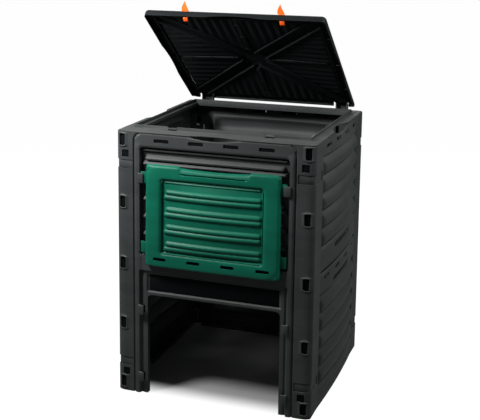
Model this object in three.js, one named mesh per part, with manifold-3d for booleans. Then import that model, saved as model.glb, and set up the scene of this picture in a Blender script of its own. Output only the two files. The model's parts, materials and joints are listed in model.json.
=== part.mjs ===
// A garden compost bin with a hinged lid, in millimetres, +Z up.
// The bin stands on the soil at z = 0, its front faces -Y and its lid is hinged at the rear.
// Four walls meet at rounded corner posts. A collar of four rails tops them and carries the lid.

import * as THREE from 'three';
import { mergeVertices } from 'three/addons/utils/BufferGeometryUtils.js';
import Module from 'manifold-3d';

const wasm = await Module();
wasm.setup();

// Bin
const width = 600;
const depth = 600;
const wallHeight = 800;
const skin = 3;
const clearance = 0.3;
const overrun = 6;
const weld = 0.001;

// Corner posts, moulded on the front and rear walls
const postWidth = 50;
const postRoundWidth = 30;
const postRoundDepth = 12;
const cornerFlangeDepth = 26;
const postArcSteps = 4;

// Sockets in the posts, and the side walls' tenons in them
const socketCount = 5;
const socketFootInset = 30;
const socketTopInset = 22;
const socketHeight = 34;
const socketWidth = 18;
const socketSideInset = 10;
const tenonThickness = 4;
const tenonTipInset = 3;
const squareHoleSize = 22;
const squareHoleEndInset = 63;
const squareHoleSideInset = 17;

// Corner clips, which hold each post and side wall together
const clipHeight = 26;
const clipEndInset = 95;
const clipRecess = 2;
const clipThickness = 5;
const clipSideLength = 76;
const clipLipHeight = 5;
const clipLipInset = 4;

// Wall relief
const topBandHeight = 42;
const footBandHeight = 57;
const fieldEdge = 10;
const ribCount = 5;
const ribHeight = 14;
const ribFullness = 0.7;
const fieldRecess = 9;
const stepsPerRib = 4;

// Pairs of round beads, on the front wall and the door
const beadHalf = 7.5;
const wallBeadShares = [0, 0.4, 1.6, 2];
const doorBeadShares = [0, 0.25, 1, 1.75, 2];
const beadTaper = 8;
const footFlangeDepth = 24;

// Front wall
const frontFieldInset = 74;
const frontFieldRecess = 15;
const frontBeadsFoot = 506;
const frontBeadsPitch = 53;
const frontBeadsCount = 5;
const frontGrooveInset = 54.5;
const frontGrooveHalf = 2.6;
const frontGrooveDepth = 3.5;
const frontMidBandBottom = 388;
const frontMidBandTop = 438;
const hatchSideInset = 95;
const hatchHeight = 312;
const hatchCornerRadius = 14;
const hatchFrameRecess = 6;
const hatchStripBottom = 328;
const hatchStripTop = 379;
const hatchStripRecess = 6;
const jambDepth = 16;

// Side and rear walls
const ribbedFieldInset = 86;
const sideBow = 12;
const footBowShare = 0.45;
const bowShare = 0.55;
const sideLowerFieldTop = 346;
const sideUpperFieldBottom = 478;
const lozengeEndInset = 126;
const lozengeHeight = 18;
const lozengeUpperLevel = 462;
const lozengeLowerLevel = 357;
const seamLevel = 403;
const seamGroove = 2;
const seamGrooveHeight = 5;
const seamSlotLevel = 390;
const seamSlotHeight = 13;

// Slots in the walls' bands, and the finger dips in their top edges
const bandSlotCount = 4;
const bandSlotEndInset = 141;
const bandSlotWidth = 46;
const bandSlotHeight = 11;
const bandSlotDrop = 20;
const dipHalf = 85;
const dipDepth = 10;
const dipSteps = 8;

// Guide lugs on the front wall, and the door that slides behind them
const doorHeight = 306;
const doorRaised = 406;
const doorGap = 0.6;
const doorSkin = 3;
const doorFootFace = 17;
const doorTopFace = 9;
const doorReach = 24.6;
const doorSideBorder = 52;
const doorTopBorder = 42;
const doorFootBorder = 44;
const doorFieldEdge = 6;
const doorFieldRecess = 6;
const doorBulgeRise = 30;
const doorBeadHeight = 6;
const doorBeadsFoot = 68.8;
const doorBeadsPitch = 51.7;
const doorBeadsCount = 4;
const doorScoopMiddle = 8;
const doorScoopHalf = 110;
const doorScoopDepth = 8;
const doorScoopSlant = 12;
const doorSlotEndInset = 48;
const doorSlotWidth = 40;
const doorSlotHeight = 10;
const doorSlotLevel = 25.5;
const doorTabReach = 17;
const doorTabThickness = 3;
const doorTabHeight = 34;
const doorTabLevels = [38, 248];
const lugHeight = 30;
const lugLevels = [38, 250, 653];
const lugHookThickness = 3.5;
const lugTipGap = 1.3;
const lugFootWidth = 8;
const lugOverlap = 9;

// Collar rails: how far in each one's upstand and inner edge stand
const railThickness = 3;
const upstandHeight = 9;
const frontUpstandInset = 62;
const rearUpstandInset = 38;
const sideUpstandInset = 30;
const frontRailDepth = 93;
const rearRailDepth = 53;
const sideRailDepth = 45;
const railOuterInset = 0.5;
const railLipDrop = 10;
const railRibEndInset = 80;
const endRailDip = 14;
const sideRailDip = 21;

// Lid, measured from the hinge axis: forward along its depth, and down from the axis
const lidSideInset = 22;
const lidFrontInset = 54;
const lidSkin = 3;
const lidTopDrop = 4;
const lidCrown = 9;
const lidOpenAngle = 37;
const hingeAxisInset = 14;
const hingeAxisHeight = 28;
const lidBandWidth = 46;
const lidBandRibThickness = 3;
const lidBandRibDepth = 5;
const lidGripHalf = 85;
const lidGripDepth = 6;
const lidRearDrop = 14;
const lidRearCut = 24;

// Hinges
const hingeEndInset = 46;
const knuckleWidth = 30;
const knuckleRadius = 6;
const hingeEarThickness = 4;
const hingeSideGap = 0.5;
const hingePinRadius = 3;
const bracketDepth = 20;
const bracketBase = 3;
const bracketMargin = 2;
const lidNotchDepth = 14;
const lidNotchGap = 3;
const pegWidth = 6;
const pegDepth = 8;
const roundSteps = 16;

// Latches
const latchEndInset = 130;
const latchPinBehindFront = 16;
const latchPinDrop = 11;
const latchPinRadius = 2;
const latchHubRadius = 4.5;
const latchWidth = 21;
const latchEarThickness = 2.5;
const latchEarHalf = 5;
const latchTabWidth = 23;
const latchTabHeight = 42;
const latchTabThickness = 3.5;
const latchTipShare = 0.3;
const latchTipSpread = 0.2;
const latchRiseShares = [0.35, 0.55, 0.7, 0.6, 0.3];
const latchSwing = 25;
const latchArmThickness = 5;
const latchNoseHeight = 4;
const latchNoseReach = 14;
const latchNoseGap = 0.5;
const latchSlotFront = 15;
const latchSlotRear = 11;
const latchSlotMargin = 3.5;

// Worked out from the sizes above
const halfWidth = width / 2;
const halfDepth = depth / 2;
const postInner = halfWidth - postWidth;
const sideWallHalf = halfDepth - postRoundDepth - clearance;
const collarBottom = wallHeight + clearance;
const collarTop = collarBottom + railThickness;
const hingeY = halfDepth - hingeAxisInset;
const hingeZ = wallHeight + hingeAxisHeight;
const lidSkirtDrop = hingeAxisHeight - (collarTop - wallHeight) - clearance;
const lidHalf = halfWidth - lidSideInset;
const lidLength = depth - hingeAxisInset - lidFrontInset;
const hingeCentre = lidHalf - hingeEndInset;
const latchCentre = lidHalf - latchEndInset;
const frontFieldHalf = halfWidth - frontFieldInset;
const hatchHalf = halfWidth - hatchSideInset;
const doorHalf = hatchHalf;
const doorTabOutward = doorGap + doorTabThickness;
const doorTabTip = doorHalf + doorTabReach;
const latchPinY = lidLength - latchPinBehindFront;
const frontBeads = {
  first: frontBeadsFoot, pitch: frontBeadsPitch, count: frontBeadsCount,
  half: beadHalf, shares: wallBeadShares,
};
const doorBeads = {
  first: doorBeadsFoot, pitch: doorBeadsPitch, count: doorBeadsCount,
  half: beadHalf, shares: doorBeadShares,
};

// Colours of the moulded plastics and of the steel pins
const blackPlastic = { color: 0x2b2d2e, roughness: 0.6, metalness: 0 };
const greenPlastic = { color: 0x0c4a35, roughness: 0.5, metalness: 0 };
const orangePlastic = { color: 0xe65a12, roughness: 0.45, metalness: 0 };
const steel = { color: 0x9a9c9e, roughness: 0.35, metalness: 1 };

// A closed geometry as a solid for joining and cutting
function solid(geometry) {
  const bare = geometry.index ? geometry.toNonIndexed() : geometry.clone();
  for (const name of Object.keys(bare.attributes)) {
    if (name !== 'position') bare.deleteAttribute(name);
  }
  const merged = mergeVertices(bare, weld);
  const vertProperties = Float32Array.from(merged.attributes.position.array);
  const triVerts = Uint32Array.from(merged.index.array);
  return new wasm.Manifold(new wasm.Mesh({ numProp: 3, vertProperties, triVerts }));
}

// A solid back as a geometry
function geometryOf(body) {
  const mesh = body.getMesh();
  const geometry = new THREE.BufferGeometry();
  const positions = Float32Array.from(mesh.vertProperties);
  const index = Uint32Array.from(mesh.triVerts);
  geometry.setAttribute('position', new THREE.BufferAttribute(positions, 3));
  geometry.setIndex(new THREE.BufferAttribute(index, 1));
  return geometry;
}

function joined(bodies) {
  return bodies.reduce((sum, body) => sum.add(body));
}

function cut(body, cutters) {
  return cutters.reduce((rest, cutter) => rest.subtract(cutter), body);
}

// A box between two values on each axis
function box(x0, x1, y0, y1, z0, z1) {
  const geometry = new THREE.BoxGeometry(Math.abs(x1 - x0), Math.abs(y1 - y0), Math.abs(z1 - z0));
  geometry.translate((x0 + x1) / 2, (y0 + y1) / 2, (z0 + z1) / 2);
  return solid(geometry);
}

// An outline in the plan, raised from z0 to z1
function planPrism(points, z0, z1) {
  const shape = new THREE.Shape(points.map(([x, y]) => new THREE.Vector2(x, y)));
  const geometry = new THREE.ExtrudeGeometry(shape, { depth: z1 - z0, bevelEnabled: false });
  geometry.translate(0, 0, z0);
  return solid(geometry);
}

// An outline of X and Z, drawn through from y0 to y1
function frontPrism(points, y0, y1) {
  const shape = new THREE.Shape(points.map(([x, z]) => new THREE.Vector2(x, z)));
  const geometry = new THREE.ExtrudeGeometry(shape, { depth: y1 - y0, bevelEnabled: false });
  geometry.rotateX(Math.PI / 2);
  geometry.translate(0, y1, 0);
  return solid(geometry);
}

// An outline of Y and Z, drawn through from x0 to x1
function sidePrism(points, x0, x1) {
  const shape = new THREE.Shape(points.map(([y, z]) => new THREE.Vector2(y, z)));
  const geometry = new THREE.ExtrudeGeometry(shape, { depth: x1 - x0, bevelEnabled: false });
  geometry.rotateX(Math.PI / 2);
  geometry.rotateZ(Math.PI / 2);
  geometry.translate(x0, 0, 0);
  return solid(geometry);
}

// A round bar along X
function barX(radius, x0, x1, y, z) {
  const geometry = new THREE.CylinderGeometry(radius, radius, x1 - x0, roundSteps);
  geometry.rotateZ(Math.PI / 2);
  geometry.translate((x0 + x1) / 2, y, z);
  return solid(geometry);
}

// A skin of even thickness under a relief: place(u, v, out) puts each point, out being its height
function sheet(us, vs, relief, thickness, place) {
  const rows = vs.length;
  const columns = us.length;
  const positions = [];
  for (const under of [0, thickness]) {
    for (const v of vs) {
      for (const u of us) {
        positions.push(...place(u, v, relief(u, v) - under));
      }
    }
  }
  const back = rows * columns;
  const index = [];
  const quad = (a, b, c, d) => index.push(a, b, c, a, c, d);
  for (let j = 0; j < rows - 1; j += 1) {
    for (let i = 0; i < columns - 1; i += 1) {
      const a = j * columns + i;
      quad(a, a + 1, a + columns + 1, a + columns);
      quad(back + a, back + a + columns, back + a + columns + 1, back + a + 1);
    }
  }
  for (let i = 0; i < columns - 1; i += 1) {
    const top = (rows - 1) * columns + i;
    quad(i + 1, i, back + i, back + i + 1);
    quad(top, top + 1, back + top + 1, back + top);
  }
  for (let j = 0; j < rows - 1; j += 1) {
    const left = j * columns;
    const right = left + columns - 1;
    quad(left, left + columns, back + left + columns, back + left);
    quad(right + columns, right, back + right, back + right + columns);
  }
  const geometry = new THREE.BufferGeometry();
  geometry.setAttribute('position', new THREE.Float32BufferAttribute(positions, 3));
  geometry.setIndex(index);
  return solid(geometry);
}

// A wall lies in its own frame: across along X, out of the bin along -Y, from its outer plane at `plane`
function wallPlace(plane) {
  return (across, level, out) => [across, -(plane + out), level];
}

function wallBox(plane, u0, u1, out0, out1, z0, z1) {
  return box(u0, u1, -(plane + out1), -(plane + out0), z0, z1);
}

// Places of `count` copies, `pitch` apart, about the middle
function spread(count, pitch) {
  return Array.from({ length: count }, (_, i) => (i - (count - 1) / 2) * pitch);
}

// The shape of a shallow dip, as points of [across, height] from one end to the other
function dipPoints(half, drop) {
  const points = [];
  for (let i = 0; i <= dipSteps; i += 1) {
    const share = (2 * i) / dipSteps - 1;
    points.push([half * share, -drop * (1 - share * share)]);
  }
  return points;
}

// Levels of some pairs of beads
function beadLevels(beads) {
  const levels = [];
  for (let i = 0; i < beads.count; i += 1) {
    const middle = beads.first + i * beads.pitch;
    for (const share of beads.shares) {
      levels.push(middle - share * beads.half, middle + share * beads.half);
    }
  }
  return levels;
}

// Share of its full height that a pair of beads has at a level
function beadShare(beads, level) {
  const nearest = Math.round((level - beads.first) / beads.pitch);
  const pair = Math.min(beads.count - 1, Math.max(0, nearest));
  const offset = Math.abs(level - beads.first - pair * beads.pitch) / beads.half;
  return Math.sqrt(Math.max(0, 1 - (offset - 1) ** 2));
}

// Levels of a field: its borders, and those of its beads or ribs
function fieldLevels(field) {
  const start = field.bottom + fieldEdge;
  const length = field.top - fieldEdge - start;
  const levels = [field.bottom, start, field.top - fieldEdge, field.top];
  if (field.beads) return [...levels, ...beadLevels(field.beads)];
  const steps = stepsPerRib * ribCount;
  for (let i = 1; i < steps; i += 1) levels.push(start + (length * i) / steps);
  return levels;
}

// Share of its full height that a field's relief has at a level
function fieldShare(field, level) {
  if (field.beads) return beadShare(field.beads, level);
  const start = field.bottom + fieldEdge;
  const length = field.top - fieldEdge - start;
  const turn = (Math.PI * ribCount * (level - start)) / length;
  return Math.abs(Math.sin(turn)) ** ribFullness;
}

// Height of the wall's outer face over its plane: a bow across it, and ribs in each field
function wallRelief(panel) {
  return (across, level) => {
    const share = Math.min(1, Math.abs(across) / panel.fieldHalf);
    const crownLevel = Math.min(1, (wallHeight - level) / topBandHeight);
    const footLevel = Math.min(1, level / footBandHeight);
    const bowLevel = crownLevel * (footBowShare + (1 - footBowShare) * footLevel);
    let out = panel.bow * (1 - share * share) * bowLevel;
    for (const field of panel.fields) {
      const inRows = level > field.bottom && level < field.top;
      if (inRows && Math.abs(across) < panel.fieldHalf) {
        const toEnd = panel.fieldHalf - fieldEdge - Math.abs(across);
        const ends = field.beads ? Math.min(1, Math.max(0, toEnd / beadTaper)) : 1;
        out += ribHeight * ends * fieldShare(field, level) - panel.recess;
      }
    }
    for (const step of panel.steps) {
      const inRows = level > step.bottom && level < step.top;
      if (inRows && Math.abs(across) < step.half) out -= step.recess;
    }
    if (panel.grooveAt) {
      const offMiddle = Math.abs(Math.abs(across) - panel.grooveAt);
      out -= frontGrooveDepth * Math.min(1, Math.max(0, 2 - (2 * offMiddle) / frontGrooveHalf));
    }
    return out;
  };
}

function sorted(values) {
  return [...new Set(values)].sort((a, b) => a - b);
}

function wallSkin(panel) {
  const fieldInner = panel.fieldHalf - fieldEdge;
  const halves = [panel.sheetHalf, panel.fieldHalf, fieldInner];
  if (panel.bow) halves.push(fieldInner * bowShare);
  if (panel.grooveAt) {
    const side = frontGrooveHalf / 2;
    halves.push(fieldInner - beadTaper, panel.grooveAt - side, panel.grooveAt + side);
    halves.push(panel.grooveAt - frontGrooveHalf, panel.grooveAt + frontGrooveHalf);
  }
  for (const step of panel.steps) halves.push(step.half, step.half - step.edge);
  const levels = [0, wallHeight - topBandHeight, wallHeight];
  for (const field of panel.fields) levels.push(...fieldLevels(field));
  for (const step of panel.steps) {
    levels.push(step.bottom, step.bottom + step.rise, step.top - step.rise, step.top);
  }
  const us = sorted([0, ...halves, ...halves.map((half) => -half)]);
  const vs = sorted(levels.filter((level) => level >= 0 && level <= wallHeight));
  return sheet(us, vs, wallRelief(panel), skin, wallPlace(panel.plane));
}

// The rounded outside of a corner post, from the wall's face to the seam, set in by `inset`.
// Each point is [in from the side plane, in from the wall's plane].
function postCurve(inset, endShare = 1) {
  const points = [];
  for (let i = 0; i <= postArcSteps; i += 1) {
    const angle = (endShare * Math.PI * i) / (2 * postArcSteps);
    const inX = postRoundWidth - (postRoundWidth - inset) * Math.sin(angle);
    const inY = postRoundDepth - (postRoundDepth - inset) * Math.cos(angle);
    points.push([inX, inY]);
  }
  return points;
}

// Points given in from a corner, as places in a wall's frame on its left (-1) or right (+1)
function atCorner(points, side) {
  return points.map(([inX, inY]) => [side * (halfWidth - inX), inY - halfDepth]);
}

function cornerPost(side) {
  const innerEnd = Math.acos(skin / (postRoundDepth - skin)) / (Math.PI / 2);
  const outline = [
    [postWidth, 0],
    ...postCurve(0),
    [cornerFlangeDepth, postRoundDepth],
    [cornerFlangeDepth, postRoundDepth - skin],
    ...postCurve(skin, innerEnd).reverse(),
    [postWidth, skin],
  ];
  return planPrism(atCorner(outline, side), 0, wallHeight);
}

function socketLevels() {
  const pitch = (wallHeight - socketFootInset - socketTopInset) / (socketCount - 1);
  return Array.from({ length: socketCount }, (_, i) => socketFootInset + i * pitch);
}

const clipLevels = [clipEndInset, wallHeight - clipEndInset];

// Cuts in a post: sockets for the tenons, two square holes and the windows of the clips
function postCuts(side) {
  const cuts = [];
  const inCorner = (in0, in1, deep0, deep1, z0, z1) => {
    const x0 = side * (halfWidth - in0);
    const x1 = side * (halfWidth - in1);
    return box(x0, x1, deep0 - halfDepth, deep1 - halfDepth, z0, z1);
  };
  const cutDepth = postRoundDepth - skin - clearance;
  for (const level of socketLevels()) {
    const z0 = level - socketHeight / 2;
    const z1 = level + socketHeight / 2;
    const skinIn = socketSideInset + socketWidth;
    const flangeIn = socketSideInset + tenonThickness + 2 * clearance;
    cuts.push(inCorner(socketSideInset, skinIn, -overrun, cutDepth, z0, z1));
    cuts.push(inCorner(socketSideInset, flangeIn, 0, postRoundDepth + overrun, z0, z1));
  }
  for (const level of [squareHoleEndInset, wallHeight - squareHoleEndInset]) {
    const z0 = level - squareHoleSize / 2;
    const z1 = level + squareHoleSize / 2;
    const inner = squareHoleSideInset + squareHoleSize;
    cuts.push(inCorner(squareHoleSideInset, inner, -overrun, cutDepth, z0, z1));
  }
  for (const level of clipLevels) {
    const z0 = level - clipHeight / 2 - clearance;
    const z1 = level + clipHeight / 2 + clearance;
    cuts.push(inCorner(-overrun, postWidth, -overrun, postRoundDepth + overrun, z0, z1));
  }
  return cuts;
}

function bandSlots(plane, half, level, height) {
  const pitch = (2 * (half - bandSlotEndInset)) / (bandSlotCount - 1);
  const z0 = level - height / 2;
  const z1 = level + height / 2;
  return spread(bandSlotCount, pitch).map((at) => {
    const u0 = at - bandSlotWidth / 2;
    const u1 = at + bandSlotWidth / 2;
    return wallBox(plane, u0, u1, -fieldRecess - skin, sideBow + overrun, z0, z1);
  });
}

function topDip(plane) {
  const outline = dipPoints(dipHalf, dipDepth).map(([u, drop]) => [u, wallHeight + drop]);
  outline.push([dipHalf, wallHeight + overrun], [-dipHalf, wallHeight + overrun]);
  return frontPrism(outline, -(plane + sideBow + overrun), -(plane - skin - overrun));
}

// A slot with round ends through a wall
function lozenge(plane, half, level) {
  const radius = lozengeHeight / 2;
  const shape = new THREE.Shape();
  const straight = half - ribbedFieldInset - lozengeEndInset - radius;
  shape.absarc(straight, level, radius, -Math.PI / 2, Math.PI / 2, false);
  shape.absarc(-straight, level, radius, Math.PI / 2, (3 * Math.PI) / 2, false);
  const through = sideBow + skin + fieldRecess + 2 * overrun;
  const geometry = new THREE.ExtrudeGeometry(shape, {
    depth: through, bevelEnabled: false, curveSegments: dipSteps / 2,
  });
  geometry.rotateX(Math.PI / 2);
  geometry.translate(0, -(plane - skin - fieldRecess - overrun), 0);
  return solid(geometry);
}

function footFlange(plane, half) {
  return wallBox(plane, -half, half, -footFlangeDepth, -skin / 2, 0, skin);
}

// Front wall, with the hatch opening, its frame and the guide lugs of the door
function frontWall() {
  const plane = halfDepth;
  const panel = {
    plane,
    sheetHalf: postInner + skin,
    fieldHalf: frontFieldHalf,
    grooveAt: halfWidth - frontGrooveInset,
    bow: 0,
    recess: frontFieldRecess,
    fields: [{ bottom: frontMidBandTop, top: wallHeight - topBandHeight, beads: frontBeads }],
    steps: [
      {
        bottom: -overrun, top: frontMidBandBottom, rise: skin,
        half: frontFieldHalf, edge: skin, recess: hatchFrameRecess,
      },
      {
        bottom: hatchStripBottom, top: hatchStripTop, rise: skin,
        half: hatchHalf, edge: skin, recess: hatchStripRecess,
      },
    ],
  };
  const inner = hatchFrameRecess + skin;
  const lugTop = doorTabOutward + 2 * clearance + lugHookThickness;
  const hookUnder = lugTop - lugHookThickness;
  const hookIn = doorTabTip - lugOverlap;
  const footIn = doorTabTip + lugTipGap;
  const footOut = footIn + lugFootWidth;
  const jambIn = -inner - jambDepth;
  const pieces = [wallSkin(panel), cornerPost(-1), cornerPost(1)];
  for (const side of [-1, 1]) {
    const jambOut = side * (hatchHalf + skin);
    const lap = -inner + skin / 2;
    pieces.push(wallBox(plane, side * hatchHalf, jambOut, jambIn, lap, 0, hatchHeight));
    pieces.push(wallBox(plane, jambOut, side * postInner, -footFlangeDepth, lap, 0, skin));
    for (const level of lugLevels) {
      const z1 = level + lugHeight;
      pieces.push(wallBox(plane, side * footIn, side * footOut, -skin / 2, lugTop, level, z1));
      pieces.push(wallBox(plane, side * hookIn, side * footOut, hookUnder, lugTop, level, z1));
    }
  }
  const headEnd = hatchHalf + skin;
  const headTop = hatchHeight + skin;
  pieces.push(wallBox(plane, -headEnd, headEnd, jambIn, -hatchFrameRecess, hatchHeight, headTop));
  const opening = new THREE.Shape();
  const arcAcross = hatchHalf - hatchCornerRadius;
  const arcLevel = hatchHeight - hatchCornerRadius;
  opening.moveTo(-hatchHalf, -overrun);
  opening.lineTo(hatchHalf, -overrun);
  opening.lineTo(hatchHalf, arcLevel);
  opening.absarc(arcAcross, arcLevel, hatchCornerRadius, 0, Math.PI / 2);
  opening.absarc(-arcAcross, arcLevel, hatchCornerRadius, Math.PI / 2, Math.PI);
  const openingCut = new THREE.ExtrudeGeometry(opening, {
    depth: 2 * overrun - jambIn, bevelEnabled: false, curveSegments: dipSteps / 2,
  });
  openingCut.rotateX(Math.PI / 2);
  openingCut.translate(0, overrun - jambIn - plane, 0);
  const cutters = [solid(openingCut), topDip(plane), ...postCuts(-1), ...postCuts(1)];
  cutters.push(...bandSlots(plane, halfWidth, wallHeight - bandSlotDrop, bandSlotHeight));
  const windowOut = frontFieldHalf - skin;
  const windowDepth = -inner - frontFieldRecess;
  for (const side of [-1, 1]) {
    for (const level of lugLevels) {
      const z0 = level + skin;
      const z1 = level + lugHeight - skin;
      cutters.push(wallBox(plane, side * hookIn, side * windowOut, windowDepth, 0, z0, z1));
    }
  }
  return cut(joined(pieces), cutters);
}

const ribbedFields = [
  { bottom: footBandHeight, top: sideLowerFieldTop },
  { bottom: sideUpperFieldBottom, top: wallHeight - topBandHeight },
];

// `half` is half the bin's size along the wall
function ribbedPanel(plane, half, sheetHalf) {
  const fieldHalf = half - ribbedFieldInset;
  return {
    plane,
    sheetHalf,
    fieldHalf,
    bow: sideBow,
    recess: fieldRecess,
    fields: ribbedFields,
    steps: [{
      bottom: seamLevel - seamGrooveHeight / 2, top: seamLevel + seamGrooveHeight / 2,
      rise: seamGrooveHeight / 2, half: fieldHalf, edge: fieldEdge, recess: seamGroove,
    }],
  };
}

// The cuts that the side walls and the rear wall share
function ribbedCuts(plane, half) {
  return [
    topDip(plane),
    lozenge(plane, half, lozengeUpperLevel),
    lozenge(plane, half, lozengeLowerLevel),
    ...bandSlots(plane, half, wallHeight - bandSlotDrop, bandSlotHeight),
    ...bandSlots(plane, half, seamSlotLevel, seamSlotHeight),
  ];
}

function rearWall() {
  const plane = halfDepth;
  const panel = ribbedPanel(plane, halfWidth, postInner + skin);
  const pieces = [wallSkin(panel), cornerPost(-1), cornerPost(1), footFlange(plane, postInner)];
  return cut(joined(pieces), [...ribbedCuts(plane, halfWidth), ...postCuts(-1), ...postCuts(1)]);
}

// Side wall, with a flange and five tenons at each end
function sideWall() {
  const plane = halfWidth;
  const pieces = [wallSkin(ribbedPanel(plane, halfDepth, sideWallHalf))];
  pieces.push(footFlange(plane, sideWallHalf - skin / 2));
  const cutters = ribbedCuts(plane, halfDepth);
  for (const side of [-1, 1]) {
    const end = side * sideWallHalf;
    pieces.push(wallBox(plane, end, end - side * skin, -cornerFlangeDepth, -skin / 2, 0, wallHeight));
    for (const level of socketLevels()) {
      const tip = side * (halfDepth - tenonTipInset);
      const z0 = level - socketHeight / 2 + clearance;
      const z1 = level + socketHeight / 2 - clearance;
      const out1 = -socketSideInset - clearance;
      pieces.push(wallBox(plane, tip, end - side * (skin / 2), out1 - tenonThickness, out1, z0, z1));
    }
    for (const level of clipLevels) {
      const z0 = level - clipHeight / 2 - clearance;
      const z1 = level + clipHeight / 2 + clearance;
      const windowEnd = side * (halfDepth - clipSideLength);
      const windowIn = -clipRecess - clipThickness - clearance;
      cutters.push(wallBox(plane, windowEnd, side * (halfDepth + overrun), windowIn, overrun, z0, z1));
    }
  }
  return cut(joined(pieces), cutters);
}

// Corner clip about its own middle height, in the front wall's frame
function cornerClip(side) {
  const inner = clipRecess + clipThickness;
  const frontEnd = postWidth - clearance;
  const sideEnd = clipSideLength - clearance;
  const band = [
    [frontEnd, clipRecess],
    ...postCurve(clipRecess),
    [clipRecess, sideEnd],
    [inner, sideEnd],
    ...postCurve(inner).reverse(),
    [frontEnd, inner],
  ];
  const lipIn = skin + clearance;
  const frontLip = [
    [frontEnd, lipIn], [postRoundWidth + clipLipInset, lipIn],
    [postRoundWidth + clipLipInset, inner], [frontEnd, inner],
  ];
  const sideStart = postRoundDepth + skin + clipLipInset;
  const sideLip = [[lipIn, sideStart], [inner, sideStart], [inner, sideEnd], [lipIn, sideEnd]];
  const half = clipHeight / 2;
  const lipHalf = half + clipLipHeight;
  return joined([
    planPrism(atCorner(band, side), -half, half),
    planPrism(atCorner(frontLip, side), -lipHalf, lipHalf),
    planPrism(atCorner(sideLip, side), -lipHalf, lipHalf),
  ]);
}

// Front or rear collar rail: it turns both corners and ends where the side rails begin
function endRail(railDepth, upstandInset) {
  const corner = (side) => atCorner([
    ...postCurve(railOuterInset),
    [railOuterInset, railDepth],
  ], side);
  const right = corner(1);
  const left = corner(-1).reverse();
  const dip = dipPoints(dipHalf, endRailDip).map(([x, drop]) => [x, railOuterInset - drop - halfDepth]);
  const upstandTop = collarTop + upstandHeight;
  const lipBottom = collarTop - railLipDrop;
  const innerY = railDepth - halfDepth;
  const upstandY = upstandInset - halfDepth;
  const upstandHalf = halfWidth - sideUpstandInset;
  const lipHalf = halfWidth - sideRailDepth;
  const ribHalf = halfWidth - railRibEndInset;
  const ribY = skin + clearance - halfDepth;
  const pieces = [
    planPrism([...right, ...left, ...dip], collarBottom, collarTop),
    box(-upstandHalf, upstandHalf, upstandY, upstandY + railThickness, collarBottom, upstandTop),
    box(-lipHalf, lipHalf, innerY - railThickness, innerY, lipBottom, collarTop),
  ];
  for (const side of [-1, 1]) {
    const x0 = side * upstandHalf;
    pieces.push(box(x0, x0 - side * railThickness, upstandY, innerY, collarBottom, upstandTop));
    const ribIn = side * (dipHalf + overrun);
    pieces.push(box(ribIn, side * ribHalf, ribY, ribY + railThickness, lipBottom, collarTop));
  }
  return joined(pieces);
}

function frontRail() {
  const pinY = hingeY - latchPinY;
  const half = latchWidth / 2 + latchSlotMargin;
  const cutters = [-1, 1].map((side) => box(
    side * latchCentre - half, side * latchCentre + half,
    pinY - latchSlotFront, pinY + latchSlotRear,
    collarBottom - overrun, collarTop + upstandHeight + overrun,
  ));
  return cut(endRail(frontRailDepth, frontUpstandInset), cutters);
}

function rearRail() {
  const cutters = [];
  for (const side of [-1, 1]) {
    for (const end of [-1, 1]) {
      const x = side * hingeCentre + end * (knuckleWidth / 2 + hingeSideGap + hingeEarThickness / 2);
      const half = pegWidth / 2 + clearance;
      const deep = pegDepth / 2 + clearance;
      const z0 = collarBottom - overrun;
      const z1 = collarTop + overrun;
      cutters.push(box(x - half, x + half, -hingeY - deep, -hingeY + deep, z0, z1));
    }
  }
  return cut(endRail(rearRailDepth, rearUpstandInset), cutters);
}

// Side collar rail between the front and rear ones. In the wall's frame the front of the bin lies
// to the left on the right wall (1), and to the right on the left wall (-1).
function sideRail(side) {
  const frontEnd = side * (frontRailDepth - halfDepth + clearance);
  const rearEnd = side * (halfDepth - rearRailDepth - clearance);
  const u0 = Math.min(frontEnd, rearEnd);
  const u1 = Math.max(frontEnd, rearEnd);
  const shift = (out) => -(halfWidth + out);
  const flange = [
    [u0, shift(-railOuterInset)],
    ...dipPoints(dipHalf, sideRailDip).map(([u, drop]) => [u, shift(drop - railOuterInset)]),
    [u1, shift(-railOuterInset)], [u1, shift(-sideRailDepth)], [u0, shift(-sideRailDepth)],
  ];
  const lipY = shift(-sideRailDepth);
  const ribY = shift(-skin - clearance);
  const ribEnd = Math.min(-u0, u1, halfDepth - ribbedFieldInset) - overrun;
  const upstandY = shift(-sideUpstandInset);
  const lipBottom = collarTop - railLipDrop;
  const pieces = [
    planPrism(flange, collarBottom, collarTop),
    box(u0, u1, upstandY, upstandY + railThickness, collarBottom, collarTop + upstandHeight),
    box(u0, u1, lipY - railThickness, lipY, lipBottom, collarTop),
  ];
  for (const end of [-1, 1]) {
    const a = end * (dipHalf + overrun);
    const b = end * ribEnd;
    pieces.push(box(a, b, ribY, ribY + railThickness, lipBottom, collarTop));
  }
  return joined(pieces);
}

// Lid in its own frame: the hinge axis is the X axis, and the closed lid reaches forward along -Y
function lidRelief(across, forward) {
  const shareX = Math.abs(across) / lidHalf;
  const middle = -lidLength / 2;
  const shareY = Math.abs(forward - middle) / (lidLength / 2);
  const rim = Math.max(shareX, shareY);
  return -lidTopDrop + lidCrown * (1 - rim);
}

function lidPlate() {
  const us = [-lidHalf, -lidHalf / 2, 0, lidHalf / 2, lidHalf];
  const vs = us.map((u) => (lidLength / 2) * (u / lidHalf - 1));
  return sheet(us, vs, lidRelief, lidSkin, (u, v, out) => [u, v, out]);
}

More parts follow.
